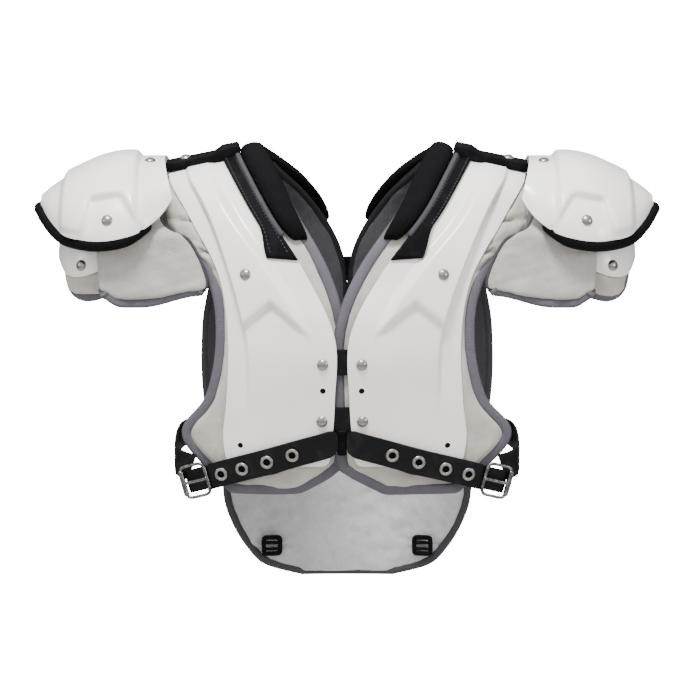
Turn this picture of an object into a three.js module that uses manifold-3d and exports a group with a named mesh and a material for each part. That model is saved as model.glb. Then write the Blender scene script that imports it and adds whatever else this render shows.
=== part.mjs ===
// Football shoulder pad: two hard plastic arch plates over padded halves that meet
// at the chest and the back, with shoulder caps, arm cups, neck cushions, chest
// straps with grommets and buckles, and a quilted lower back pad.
// Millimetres, +Z up, front of the chest towards -Y, left and right as seen from the front.
// The origin lies between the shoulders, where the pad sits on its wearer.

import * as THREE from 'three';
import { mergeVertices } from 'three/addons/utils/BufferGeometryUtils.js';
import Module from 'manifold-3d';

const wasm = await Module();
wasm.setup();

// Driving sizes
const HALF_DEPTH = 125;       // middle of the body to the front of the chest plates
const BODY_HEIGHT = 307;      // hem of the plates to the top of the arch
const HEM_DROP = 258;         // origin down to the hem of the plates
const REACH = 180;            // middle of the body to the outer end of an arch plate
const CHEST_CURVE = 0.35;     // share of the depth that is lost at REACH
const SHOULDER_SLOPE = 0.2;   // fall of the shoulder line for each millimetre outwards
const PLATE_WALL = 3;
const PAD_WALL = 18;
const LAYER_GAP = 0.5;        // clearance between layers that touch
const PAD_GAP = 0.9;          // clearance between a plate and the pad behind it
const RIB_HEIGHT = 6;         // raised rib pressed into the plates
const CAP_SPAN = 144;         // shoulder cap, inner edge to tip
const CAP_INSET = 6;          // cap's inner edge inwards of the plate's outer end
const CAP_RISE = 84;          // cap, lowest rim to crown
const CAP_DROP = 78;          // top of the arch down to the cap's lowest rim
const CAP_DEPTH = 118;        // cap, middle to front rim
const CAP_WALL = 3.2;
const CAP_PAD_WALL = 8.5;
const CUP_SPAN = 74;          // arm cup, inner edge to tip
const CUP_INSET = 46;         // cup's inner edge outwards of the cap's
const CUP_RISE = 94;
const CUP_DROP = 37;          // cap's lowest rim down to the cup's
const CUP_DEPTH = 84;
const CUP_WALL = 3;
const ARM_PAD_WALL = 14;
const FLAP_WALL = 12;
const STRAP_WALL = 3;
const STRAP_WIDTH = 27;
const BAR_WALL = 10;
const BAR_HALF_WIDTH = 20;
const BAR_TUCK = 12;          // how far the bar reaches under the cap
const TRIM_WIDTH = 15;
const TRIM_WALL = 2.6;
const NECK_PAD_CROWN = 15;
const HOLE_RADIUS = 2.8;
const RIVET_RADIUS = 5.6;
const RIVET_RISE = 3;
const GROMMET_RADIUS = 6.8;
const GROMMET_BORE = 3.6;
const GROMMET_RISE = 1.6;
const BACK_PAD_WALL = 13;
const BACK_PAD_HALF = 128;    // half width of the lower back pad
const BACK_PAD_DROP = 391;    // origin down to its lowest point
const CLIP_SIZE = 22;
const BUCKLE_WIRE = 3.6;
const BUCKLE_HEIGHT = 36;
const BUCKLE_LENGTH = 30;

// Rows of numbers under named columns
const table = (names, rows) =>
  rows.map((row) => Object.fromEntries(names.map((name, k) => [name, row[k]])));

// The body, from the chest hem over the shoulder to the back hem. rise is a share of
// BODY_HEIGHT, forward of HALF_DEPTH, and the widths are shares of REACH. crown and
// step are shares of RIB_HEIGHT, between the rib lines and inwards of them.
const BODY = table([
  'rise', 'forward', 'plateIn', 'plateOut', 'padIn', 'padOut', 'ribIn', 'ribOut', 'crown', 'step',
], [
  [-0.085, -0.86,  0.10,  0.65, 0.340,  0.66,  0.33,  0.55,  0.35,  0.35],
  [-0.030, -0.88,  0.10,  0.66, 0.100,  0.76,  0.33,  0.55,  0.35,  0.35],
  [ 0.000, -0.90,  0.10,  0.67, 0.030,  0.80,  0.33,  0.55,  0.35,  0.35],
  [ 0.100, -0.94,  0.08,  0.69, 0.010,  0.91,  0.33,  0.55,  0.35,  0.35],
  [ 0.220, -0.98, 0.067,  0.67, 0.008,  0.81,  0.33,  0.55,  0.35,  0.35],
  [ 0.420, -1.00, 0.067,  0.66, 0.008,  0.73,  0.36,  0.56,  0.35,  0.35],
  [ 0.620, -0.95,  0.23,  0.71, 0.085,  0.79,  0.46,  0.62,  1.00,  0.00],
  [ 0.800, -0.78, 0.435,  0.86, 0.260,  1.00,  0.60,  0.76,  1.00,  0.00],
  [ 0.945, -0.45, 0.575,  0.99, 0.400,  1.05,  0.72,  0.88,  0.70,  0.00],
  [ 1.000,  0.00, 0.628,  1.01, 0.480,  1.06,  0.75,  0.90,  0.00,  0.00],
  [ 0.945,  0.45,  0.58,  0.99, 0.400,  1.05,  0.72,  0.88,  0.70,  0.00],
  [ 0.820,  0.78,  0.43,  0.89, 0.217,  1.01,  0.60,  0.76,  1.00,  0.00],
  [ 0.640,  0.94,  0.20,  0.73, 0.040,  0.79,  0.46,  0.64,  1.00,  0.00],
  [ 0.420,  1.00, 0.067,  0.70, 0.008,  0.83,  0.36,  0.58,  0.35,  0.35],
  [ 0.200,  0.98, 0.067,  0.72, 0.008,  0.83,  0.33,  0.56,  0.35,  0.35],
  [ 0.000,  0.92,  0.09,  0.70, 0.020,  0.79,  0.33,  0.56,  0.35,  0.35],
  [-0.050,  0.90,  0.10,  0.68, 0.110,  0.72,  0.33,  0.56,  0.35,  0.35],
]);
const PLATE_FIRST_ROW = 2;
const PLATE_LAST_ROW = 15;
const TOP_ROW = 9;

const NECK_HALF = BODY[TOP_ROW].plateIn * REACH;   // middle of the body to the plate beside the neck
const heightAt = (rise) => rise * BODY_HEIGHT - HEM_DROP;
const CAP_START = REACH - CAP_INSET;
const CAP_RIM = heightAt(1) - CAP_DROP;
const CUP_START = CAP_START + CUP_INSET;
const CUP_RIM = CAP_RIM - CUP_DROP;

// Shoulder cap and arm cup, from the inner edge to the tip. out is a share of the span,
// top and rim of the rise above the lowest rim, deep of the depth.
const CAP = table(['out', 'top', 'rim', 'deep'], [
  [0.00, 0.957, 0.48, 0.74],
  [0.08, 0.952, 0.24, 0.84],
  [0.22, 0.96, 0.08, 0.975],
  [0.36, 1.00, 0.02, 1.00],
  [0.51, 0.97, 0.01, 0.98],
  [0.65, 0.84, 0.03, 0.88],
  [0.78, 0.67, 0.12, 0.70],
  [0.89, 0.52, 0.27, 0.46],
  [0.96, 0.44, 0.37, 0.22],
  [1.00, 0.40, 0.37, 0.08],
]);
const CUP = table(['out', 'top', 'rim', 'deep'], [
  [0.00, 0.91, 0.22, 0.94],
  [0.32, 0.948, 0.10, 0.98],
  [0.64, 0.78, 0.01, 0.90],
  [0.86, 0.60, 0.03, 0.72],
  [0.98, 0.42, 0.16, 0.42],
  [1.00, 0.36, 0.22, 0.32],
]);
// Points that the walls of the domes face: distance out, and height
const CAP_HEART = [CAP_START + 0.39 * CAP_SPAN, CAP_RIM];
const CUP_HEART = [CUP_START + 0.22 * CUP_SPAN, CUP_RIM + 0.05 * CUP_RISE];

// Shoulder flap, from its front hem to the crown. forward is a share of CAP_DEPTH,
// high of CAP_RISE above CAP_RIM, near and far of CAP_SPAN outwards of CAP_START.
const FLAP = table(['forward', 'high', 'near', 'far', 'tuck'], [
  [0.80, -0.70, 0.00, 0.36, 0],
  [0.845, -0.60, -0.19, 0.47, 0],
  [0.835, -0.42, -0.21, 0.525, 0],
  [0.830, -0.10, -0.14, 0.54, 0],
  [0.825, 0.10, -0.03, 0.54, 0],
  [0.725, 0.35, 0.13, 0.54, 1],
  [0.47, 0.605, 0.16, 0.54, 1],
  [0.24, 0.740, 0.17, 0.54, 1],
  [0.00, 0.780, 0.17, 0.54, 1],
]);
const FLAP_TILT = 0.14;       // fall of the tucked part for each millimetre inwards

// Lower back pad, from its top edge to its hem. down is a share of BACK_PAD_DROP,
// wide of BACK_PAD_HALF.
const BACK_PAD = table(['down', 'wide'], [
  [0.52, 0.93],
  [0.66, 0.98],
  [0.78, 1.00],
  [0.86, 0.93],
  [0.93, 0.80],
  [0.972, 0.66],
  [1.00, 0.36],
]);

// Colours and finishes
const finish = (color, roughness, metalness = 0) =>
  new THREE.MeshStandardMaterial({ color, roughness, metalness });
const WHITE_PLASTIC = finish(0xe9e7e2, 0.32);
const BEIGE_CLOTH = finish(0xc9c3ba, 0.85);
const GREY_CLOTH = finish(0xbdb9b8, 0.85);
const BLACK_CLOTH = finish(0x131315, 0.9);
const BLACK_PLASTIC = finish(0x17181a, 0.45);
const BLACK_STRAP = finish(0x1d1d1f, 0.5);
const STEEL = finish(0xb9b6b0, 0.3, 1);

const object = new THREE.Group();

function place(name, geometry, material) {
  const mesh = new THREE.Mesh(geometry, material);
  mesh.name = name;
  object.add(mesh);
  return mesh;
}

// Tables

// Smooth value of a column at share t of the table's length
function column(table, name, t) {
  const last = table.length - 1;
  const along = Math.min(Math.max(t, 0), 1) * last;
  const row = Math.min(Math.floor(along), last - 1);
  const f = along - row;
  const a = table[Math.max(row - 1, 0)][name];
  const b = table[row][name];
  const c = table[row + 1][name];
  const d = table[Math.min(row + 2, last)][name];
  return b + 0.5 * f * (c - a + f * (2 * a - 5 * b + 4 * c - d + f * (3 * (b - c) + d - a)));
}

const bodyShare = (row) => row / (BODY.length - 1);
const TOP = bodyShare(TOP_ROW);
const mix = (a, b, f) => a + (b - a) * f;

// Solids

// Closed wall between two grids of points; outer and inner take shares 0 to 1
function wall(rows, columns, outer, inner) {
  const points = [];
  for (const surface of [outer, inner]) {
    for (let i = 0; i <= rows; i += 1) {
      for (let j = 0; j <= columns; j += 1) {
        points.push(surface(i / rows, j / columns));
      }
    }
  }
  const half = (rows + 1) * (columns + 1);
  const at = (i, j, side) => side * half + i * (columns + 1) + j;
  const faces = [];
  const quad = (a, b, c, d) => faces.push(a, b, c, a, c, d);
  for (let i = 0; i < rows; i += 1) {
    for (let j = 0; j < columns; j += 1) {
      quad(at(i, j, 0), at(i, j + 1, 0), at(i + 1, j + 1, 0), at(i + 1, j, 0));
      quad(at(i, j, 1), at(i + 1, j, 1), at(i + 1, j + 1, 1), at(i, j + 1, 1));
    }
  }
  for (let i = 0; i < rows; i += 1) {
    quad(at(i, 0, 0), at(i + 1, 0, 0), at(i + 1, 0, 1), at(i, 0, 1));
    quad(at(i, columns, 0), at(i, columns, 1), at(i + 1, columns, 1), at(i + 1, columns, 0));
  }
  for (let j = 0; j < columns; j += 1) {
    quad(at(0, j, 0), at(0, j, 1), at(0, j + 1, 1), at(0, j + 1, 0));
    quad(at(rows, j, 0), at(rows, j + 1, 0), at(rows, j + 1, 1), at(rows, j, 1));
  }
  return closedGeometry(points, faces);
}

// Geometry of a closed body, turned so that its faces point outwards
function closedGeometry(points, faces) {
  let volume = 0;
  for (let k = 0; k < faces.length; k += 3) {
    const [a, b, c] = [points[faces[k]], points[faces[k + 1]], points[faces[k + 2]]];
    volume += a.dot(new THREE.Vector3().crossVectors(b, c));
  }
  if (volume < 0) faces.reverse();
  const geometry = new THREE.BufferGeometry();
  const numbers = points.flatMap((p) => [p.x, p.y, p.z]);
  geometry.setAttribute('position', new THREE.Float32BufferAttribute(numbers, 3));
  geometry.setIndex(faces);
  return geometry;
}

function toSolid(geometry) {
  const bare = geometry.clone();
  bare.deleteAttribute('normal');
  bare.deleteAttribute('uv');
  const merged = mergeVertices(bare, 1e-4);
  return new wasm.Manifold(new wasm.Mesh({
    numProp: 3,
    vertProperties: new Float32Array(merged.attributes.position.array),
    triVerts: new Uint32Array(merged.index.array),
  }));
}

function toGeometry(solid) {
  const mesh = solid.getMesh();
  const geometry = new THREE.BufferGeometry();
  geometry.setAttribute('position', new THREE.BufferAttribute(mesh.vertProperties, 3));
  geometry.setIndex(new THREE.BufferAttribute(mesh.triVerts, 1));
  return geometry;
}

// Geometry turned so that its own +Y lies along a normal, and moved to a place
function stand(geometry, position, normal) {
  const turn = new THREE.Quaternion().setFromUnitVectors(new THREE.Vector3(0, 1, 0), normal);
  return geometry.applyQuaternion(turn).translate(position.x, position.y, position.z);
}

// Geometry with round holes cut through it at a list of spots
const DRILL_DEPTH = 20;
function drilled(geometry, spots, radius) {
  let solid = toSolid(geometry);
  for (const spot of spots) {
    const drill = new THREE.CylinderGeometry(radius, radius, DRILL_DEPTH, 8);
    solid = solid.subtract(toSolid(stand(drill, spot.position, spot.normal)));
  }
  return toGeometry(solid);
}

// The body's surface

function bodySurface(side, t, x) {
  const rise = column(BODY, 'rise', t);
  const narrow = 1 - CHEST_CURVE * (x / REACH) ** 2;
  const fall = SHOULDER_SLOPE * (x - NECK_HALF) * Math.max(0, rise) ** 3;
  return new THREE.Vector3(
    side * x,
    column(BODY, 'forward', t) * HALF_DEPTH * narrow,
    heightAt(rise) - fall,
  );
}

function bodyNormal(side, t, x) {
  const step = 0.004;
  const along = bodySurface(side, t + step, x).sub(bodySurface(side, t - step, x));
  const across = bodySurface(side, t, x + 1).sub(bodySurface(side, t, x - 1));
  return across.cross(along).multiplyScalar(side).normalize();
}

const bodyPoint = (side, t, x, lift) =>
  bodySurface(side, t, x).addScaledVector(bodyNormal(side, t, x), lift);

// Share t of the body at a height, on the front (0 to TOP) or the back (TOP to 1)
function shareAtHeight(x, z, front = true) {
  let [low, high] = front ? [0, TOP] : [1, TOP];
  for (let k = 0; k < 40; k += 1) {
    const middle = (low + high) / 2;
    if (bodySurface(1, middle, x).z < z) low = middle;
    else high = middle;
  }
  return (low + high) / 2;
}

// Lines across a plate, and how far the plate is raised at each
const RIB_FLANK = 5;
function plateLines(t) {
  const inner = column(BODY, 'plateIn', t) * REACH;
  const outer = column(BODY, 'plateOut', t) * REACH;
  const ribIn = column(BODY, 'ribIn', t) * REACH;
  const ribOut = column(BODY, 'ribOut', t) * REACH;
  const crown = column(BODY, 'crown', t) * RIB_HEIGHT;
  const step = column(BODY, 'step', t) * RIB_HEIGHT;
  return {
    x: [inner, mix(inner, ribIn - RIB_FLANK, 0.5), ribIn - RIB_FLANK, ribIn + RIB_FLANK,
      ribOut - RIB_FLANK, ribOut + RIB_FLANK, outer],
    lift: [step, step, step, crown, crown, 0, 0],
  };
}

function plateLift(t, x) {
  const lines = plateLines(t);
  for (let k = 1; k < lines.x.length; k += 1) {
    if (x <= lines.x[k]) {
      const f = (x - lines.x[k - 1]) / (lines.x[k] - lines.x[k - 1]);
      return mix(lines.lift[k - 1], lines.lift[k], Math.max(f, 0));
    }
  }
  return 0;
}

// A spot on a plate, for what stands on it or is cut through it
function plateSpot(side, x, z, raise = 0) {
  const t = shareAtHeight(x, z);
  return {
    position: bodyPoint(side, t, x, plateLift(t, x) + raise),
    normal: bodyNormal(side, t, x),
  };
}

// Strip on the body between two heights and two distances out
function bodyPatch(side, limits, low, high, rows = 2, columns = 4) {
  const { nearX, farX, bottom, top, front = true } = limits;
  const spot = (u, v, lift) => {
    const x = mix(nearX, farX, v);
    return bodyPoint(side, shareAtHeight(Math.abs(x), mix(bottom, top, u), front), x, lift);
  };
  return wall(rows, columns, (u, v) => spot(u, v, high), (u, v) => spot(u, v, low));
}

// Shoulder dome surfaces

function dome(table, sizes, side, u, angle) {
  const out = column(table, 'out', u) * sizes.span + sizes.start;
  const top = column(table, 'top', u) * sizes.rise + sizes.rim;
  const rim = column(table, 'rim', u) * sizes.rise + sizes.rim;
  const deep = column(table, 'deep', u) * sizes.depth;
  return new THREE.Vector3(
    side * out,
    -deep * Math.sin(angle),
    rim + (top - rim) * Math.cos(angle),
  );
}

// The dome's point moved towards the dome's heart
function domeLayer(table, sizes, side, u, angle, inwards) {
  const point = dome(table, sizes, side, u, angle);
  const heart = new THREE.Vector3(side * sizes.heart[0], 0, sizes.heart[1]);
  return point.addScaledVector(heart.sub(point).normalize(), inwards);
}

const CAP_SIZES = {
  span: CAP_SPAN, start: CAP_START, rise: CAP_RISE, rim: CAP_RIM, depth: CAP_DEPTH,
  heart: CAP_HEART,
};
const CUP_SIZES = {
  span: CUP_SPAN, start: CUP_START, rise: CUP_RISE, rim: CUP_RIM, depth: CUP_DEPTH,
  heart: CUP_HEART,
};

// The cap's shell ends short of its padded layer at the tip, and starts further in
const CAP_SHELL_END = 0.9;
const CAP_PAD_FROM = 0.2;
const CAP_PAD_TUCK = 0.13;    // radians that the padded layers turn past the rims
const ARM_PAD_TUCK = 0.38;

// Wall of a dome over a quarter turn each way, and past it by a tuck at both rims
const RIGHT_ANGLE = Math.PI / 2;
const DOME_STEPS = 12;
const DOME_STEP = (2 * RIGHT_ANGLE) / DOME_STEPS;
function domeWall(table, sizes, side, limits, rows) {
  const { from, to, tuck, outside, thick } = limits;
  const columns = DOME_STEPS + (tuck > 0 ? 2 : 0);
  const angle = (v) => {
    const step = Math.round(v * columns) - (tuck > 0 ? 1 : 0);
    const even = RIGHT_ANGLE * (2 * Math.min(Math.max(step, 0), DOME_STEPS) / DOME_STEPS - 1);
    return even + tuck * (Math.min(step, 0) + Math.max(step - DOME_STEPS, 0));
  };
  const layer = (u, v, inwards) =>
    domeLayer(table, sizes, side, mix(from, to, u), angle(v), inwards);
  return wall(
    rows,
    columns,
    (u, v) => layer(u, v, outside),
    (u, v) => layer(u, v, outside + thick),
  );
}

// A spot on a dome, for the rivets
function domeSpot(table, sizes, side, u, angle, raise) {
  const step = 0.02;
  const at = (du, da) => dome(table, sizes, side, u + du, angle + da);
  const position = at(0, 0);
  const along = at(step, 0).sub(at(-step, 0));
  const round = at(0, step).sub(at(0, -step));
  const normal = along.cross(round).normalize();
  const heart = new THREE.Vector3(side * sizes.heart[0], 0, sizes.heart[1]);
  if (normal.dot(position.clone().sub(heart)) < 0) normal.negate();
  return { position: position.addScaledVector(normal, raise), normal };
}

// Arch plates and body pads

function archPlate(side) {
  const from = bodyShare(PLATE_FIRST_ROW);
  const to = bodyShare(PLATE_LAST_ROW);
  const lineCount = plateLines(0).x.length - 1;
  const spot = (u, v, drop) => {
    const t = mix(from, to, u);
    const lines = plateLines(t);
    const k = Math.round(v * lineCount);
    return bodyPoint(side, t, lines.x[k], lines.lift[k] - drop);
  };
  return wall(
    2 * (PLATE_LAST_ROW - PLATE_FIRST_ROW),
    lineCount,
    (u, v) => spot(u, v, 0),
    (u, v) => spot(u, v, PLATE_WALL),
  );
}

const PAD_TOP = PLATE_WALL + PAD_GAP;

function bodyPad(side) {
  const spot = (u, v, drop) => {
    const x = mix(column(BODY, 'padIn', u), column(BODY, 'padOut', u), v) * REACH;
    return bodyPoint(side, u, x, -drop);
  };
  return wall(
    2 * (BODY.length - 1),
    5,
    (u, v) => spot(u, v, PAD_TOP),
    (u, v) => spot(u, v, PAD_TOP + PAD_WALL),
  );
}

// Neck cushion over the pad's neck edge, and the trim on the plate's neck edge
const NECK_PAD_FRONT = 0.41;
const NECK_PAD_BACK = 0.69;
const TRIM_FRONT = 0.385;
const TRIM_BACK = 0.70;
const TRIM_GAP = 0.8;
const NECK_PAD_SIDE_GAP = 1.5;
const NECK_PAD_END = 0.3;     // crown at the two ends, as a share of the whole
const NECK_PAD_FILL = 8;      // how fast the crown rises from the ends

function neckPad(side) {
  const spot = (u, v, top) => {
    const t = mix(NECK_PAD_FRONT, NECK_PAD_BACK, u);
    const near = column(BODY, 'padIn', t) * REACH;
    const far = column(BODY, 'plateIn', t) * REACH - NECK_PAD_SIDE_GAP;
    const ends = Math.min(1, NECK_PAD_END + NECK_PAD_FILL * u * (1 - u));
    const round = Math.sqrt(Math.max(0, 1 - (2 * v - 1) ** 4)) * ends;
    const lift = top ? round * NECK_PAD_CROWN + 1 : 0;
    return bodyPoint(side, t, mix(near, far, v), lift + PAD_GAP - PAD_TOP);
  };
  return wall(14, 5, (u, v) => spot(u, v, true), (u, v) => spot(u, v, false));
}

function neckTrim(side) {
  const spot = (u, v, lift) => {
    const t = mix(TRIM_FRONT, TRIM_BACK, u);
    const x = column(BODY, 'plateIn', t) * REACH + v * TRIM_WIDTH;
    return bodyPoint(side, t, x, plateLift(t, x) + lift);
  };
  return wall(
    14,
    1,
    (u, v) => spot(u, v, TRIM_GAP + TRIM_WALL),
    (u, v) => spot(u, v, TRIM_GAP),
  );
}

// Bare patch sewn over the front end of the trim
const PATCH_TOP = 0.428;
const PATCH_WALL = 1;
const PATCH_SPREAD = 1.3;     // patch width as a share of the trim's
function neckPatch(side) {
  const spot = (u, v, lift) => {
    const t = mix(TRIM_FRONT, PATCH_TOP, u);
    const x = column(BODY, 'plateIn', t) * REACH + v * TRIM_WIDTH * PATCH_SPREAD;
    return bodyPoint(side, t, x, plateLift(t, x) + TRIM_GAP + TRIM_WALL + LAYER_GAP + lift);
  };
  return wall(3, 2, (u, v) => spot(u, v, PATCH_WALL), (u, v) => spot(u, v, 0));
}

// Bar across the top of the arch, from the neck trim to under the cap
function shoulderBar(side) {
  const near = NECK_HALF + TRIM_WIDTH + 2;
  const spot = (u, v, lift) => {
    const x = mix(near, CAP_START + BAR_TUCK, v);
    const base = bodySurface(side, TOP, x);
    const y = mix(-BAR_HALF_WIDTH, BAR_HALF_WIDTH, u);
    return new THREE.Vector3(base.x, y, base.z + lift);
  };
  return wall(2, 3, (u, v) => spot(u, v, LAYER_GAP + BAR_WALL), (u, v) => spot(u, v, LAYER_GAP));
}

// Flap that hangs in front of and behind the arm, over the shoulder in one piece
function shoulderFlap(side) {
  const spot = (u, v, inwards) => {
    const front = u <= 0.5;
    const t = front ? 2 * u : 2 - 2 * u;
    const out = CAP_START + CAP_SPAN * mix(column(FLAP, 'near', t), column(FLAP, 'far', t), v);
    const farthest = CAP_START + CAP_SPAN * column(FLAP, 'far', 1);
    const tuck = column(FLAP, 'tuck', t) * FLAP_TILT * (farthest - out);
    const point = (share) => new THREE.Vector3(
      side * out,
      (front ? -1 : 1) * column(FLAP, 'forward', share) * CAP_DEPTH,
      column(FLAP, 'high', share) * CAP_RISE + CAP_RIM - tuck,
    );
    const middle = point(t);
    const along = point(Math.min(t + 0.02, 1)).sub(point(Math.max(t - 0.02, 0)));
    const inward = new THREE.Vector3(0, -along.z, along.y).normalize();
    if (inward.dot(new THREE.Vector3(0, front ? 1 : -1, -1)) < 0) inward.negate();
    if (t > 0.99) inward.set(0, 0, -1);
    return middle.addScaledVector(inward, inwards);
  };
  return wall(20, 3, (u, v) => spot(u, v, 0), (u, v) => spot(u, v, FLAP_WALL));
}

// Chest belts
const BELT_LIFT = RIB_HEIGHT * BODY[PLATE_FIRST_ROW].step + LAYER_GAP;
const BELT_NEAR = 0.05 * REACH;
const BELT_FAR = 0.767 * REACH;
const BELT_NEAR_HEIGHT = heightAt(0.086);
const BELT_FAR_HEIGHT = heightAt(-0.04);
const BELT_END_TAPER = 0.22;
const BELT_END = 0.08;        // share of the belt's length that its rounded end takes

const beltHeight = (x) =>
  mix(BELT_NEAR_HEIGHT, BELT_FAR_HEIGHT, (x - BELT_NEAR) / (BELT_FAR - BELT_NEAR));

function beltSpot(side, x, z, raise) {
  const t = shareAtHeight(x, z);
  return { position: bodyPoint(side, t, x, BELT_LIFT + raise), normal: bodyNormal(side, t, x) };
}

function belt(side) {
  const spot = (u, v, raise) => {
    const x = mix(BELT_NEAR, BELT_FAR, v);
    const end = Math.max(0, 1 - v / BELT_END);
    const half = (STRAP_WIDTH / 2) * (1 - BELT_END_TAPER * end);
    return beltSpot(side, x, beltHeight(x) + mix(-half, half, u), raise).position;
  };
  return wall(2, 12, (u, v) => spot(u, v, STRAP_WALL), (u, v) => spot(u, v, 0));
}

const GROMMET_PLACES = [0.30, 0.44, 0.578, 0.694].map((share) => share * REACH);

function grommet(spot) {
  const ring = [
    [GROMMET_BORE, 0],
    [GROMMET_RADIUS, 0],
    [GROMMET_RADIUS, 0.4 * GROMMET_RISE],
    [(GROMMET_RADIUS + GROMMET_BORE) / 2, GROMMET_RISE],
    [GROMMET_BORE, 0.56 * GROMMET_RISE],
    [GROMMET_BORE, 0],
  ].map(([radius, height]) => new THREE.Vector2(radius, height));
  return stand(new THREE.LatheGeometry(ring, 10), spot.position, spot.normal);
}

function rivet(spot) {
  const head = [
    [0, 0], [RIVET_RADIUS, 0], [RIVET_RADIUS * 0.8, 0.63 * RIVET_RISE], [0, RIVET_RISE],
  ].map(([radius, height]) => new THREE.Vector2(radius, height));
  return stand(new THREE.LatheGeometry(head, 8), spot.position, spot.normal);
}

// Roller buckle: a wire frame with a roller on its outer bar and a prong across it
const BUCKLE_OUT = 0.833 * REACH;
const BUCKLE_LIFT = 0.9;        // a flat frame on a curved belt
const PRONG_WIDTH = 3;
const PRONG_WALL = 2.4;
function buckle(side) {
  const outline = new THREE.Shape();
  const window = new THREE.Path();
  const wide = BUCKLE_LENGTH / 2;
  const tall = BUCKLE_HEIGHT / 2;
  outline.moveTo(-wide, -tall);
  outline.lineTo(wide, -tall);
  outline.lineTo(wide, tall);
  outline.lineTo(-wide, tall);
  outline.closePath();
  window.moveTo(-wide + BUCKLE_WIRE, -tall + BUCKLE_WIRE);
  window.lineTo(-wide + BUCKLE_WIRE, tall - BUCKLE_WIRE);
  window.lineTo(wide - BUCKLE_WIRE, tall - BUCKLE_WIRE);
  window.lineTo(wide - BUCKLE_WIRE, -tall + BUCKLE_WIRE);
  window.closePath();
  outline.holes.push(window);
  const frame = new THREE.ExtrudeGeometry(outline, { depth: BUCKLE_WIRE, bevelEnabled: false });
  const roller = new THREE.CylinderGeometry(
    BUCKLE_WIRE * 0.8, BUCKLE_WIRE * 0.8, BUCKLE_HEIGHT - 2 * BUCKLE_WIRE - 1, 10,
  );
  roller.translate(wide - BUCKLE_WIRE / 2, 0, BUCKLE_WIRE / 2);
  const prong = new THREE.BoxGeometry(BUCKLE_LENGTH - BUCKLE_WIRE, PRONG_WIDTH, PRONG_WALL);
  prong.translate(0, 0, BUCKLE_WIRE - PRONG_WALL / 3);
  const whole = toGeometry(toSolid(frame).add(toSolid(roller)).add(toSolid(prong)));
  const spot = beltSpot(side, BUCKLE_OUT, beltHeight(BUCKLE_OUT), STRAP_WALL + BUCKLE_LIFT);
  const beltAt = (x) => beltSpot(side, x, beltHeight(x), STRAP_WALL).position;
  const outwards = beltAt(BUCKLE_OUT + wide / 2).sub(beltAt(BUCKLE_OUT - wide / 2)).normalize();
  const upwards = new THREE.Vector3().crossVectors(spot.normal, outwards).normalize();
  const facing = new THREE.Vector3().crossVectors(outwards, upwards).normalize();
  const turn = new THREE.Matrix4().makeBasis(outwards, upwards, facing);
  return whole.applyMatrix4(turn).translate(spot.position.x, spot.position.y, spot.position.z);
}

// Side strap, from under the buckle round the side of the chest to the back pad
const SIDE_STRAP = table(['out', 'forward', 'high'], [
  [0.865, -0.640, 0.00],
  [0.925, -0.635, 0.05],
  [0.965, -0.56, 0.13],
  [0.975, -0.30, 0.22],
  [0.975, 0.10, 0.30],
  [0.955, 0.44, 0.34],
  [0.90, 0.635, 0.36],
  [0.80, 0.705, 0.36],
  [0.73, 0.753, 0.36],
]);
const SIDE_STRAP_LOW = heightAt(-0.013);

function sideStrap(side) {
  const centre = (v) => new THREE.Vector3(
    side * column(SIDE_STRAP, 'out', v) * REACH,
    column(SIDE_STRAP, 'forward', v) * HALF_DEPTH,
    SIDE_STRAP_LOW + column(SIDE_STRAP, 'high', v) * STRAP_WIDTH * 2,
  );
  const spot = (u, v, raise) => {
    const along = centre(Math.min(v + 0.01, 1)).sub(centre(Math.max(v - 0.01, 0)));
    const outward = new THREE.Vector3(along.y * side, -along.x * side, 0).normalize();
    const point = centre(v);
    point.z += mix(-STRAP_WIDTH / 2, STRAP_WIDTH / 2, u);
    return point.addScaledVector(outward, raise);
  };
  return wall(1, 14, (u, v) => spot(u, v, STRAP_WALL), (u, v) => spot(u, v, 0));
}

// Lower back pad, inside the back hems of the two body pads
const BACK_PAD_TOP = PAD_TOP + PAD_WALL + PAD_GAP;
function backPad() {
  const spot = (u, v, drop) => {
    const z = -column(BACK_PAD, 'down', u) * BACK_PAD_DROP;
    const x = mix(-1, 1, v) * column(BACK_PAD, 'wide', u) * BACK_PAD_HALF;
    return backPoint(x, z, drop);
  };
  return wall(
    10,
    8,
    (u, v) => spot(u, v, BACK_PAD_TOP),
    (u, v) => spot(u, v, BACK_PAD_TOP + BACK_PAD_WALL),
  );
}

// A point of the back at any height, also below the hems, and a drop inwards
const BACK_LEAN = 0.06;
function backPoint(x, z, drop) {
  const lowest = BODY[BODY.length - 1];
  const hem = heightAt(lowest.rise);
  const narrow = 1 - CHEST_CURVE * (x / REACH) ** 2;
  const forward = z > hem
    ? column(BODY, 'forward', shareAtHeight(Math.abs(x), z, false))
    : lowest.forward;
  const lean = z > hem ? 0 : BACK_LEAN * (hem - z);
  const slant = (2 * CHEST_CURVE * forward * HALF_DEPTH * x) / REACH ** 2;
  return new THREE.Vector3(x, forward * HALF_DEPTH * narrow - lean - drop * Math.hypot(1, slant), z);
}

// Belt clip on the inner face of the lower back pad
const CLIP_OUT = 0.617 * BACK_PAD_HALF;
const CLIP_HEIGHT = -0.926 * BACK_PAD_DROP;
const CLIP_WALL = 5;
function backClip(side) {
  const half = CLIP_SIZE / 2;
  const depth = BACK_PAD_TOP + BACK_PAD_WALL + LAYER_GAP;
  const spot = (u, v, drop) =>
    backPoint(side * (CLIP_OUT + mix(-half, half, v)), CLIP_HEIGHT + mix(-half, half, u), drop);
  return wall(2, 2, (u, v) => spot(u, v, depth + CLIP_WALL), (u, v) => spot(u, v, depth));
}

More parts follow.
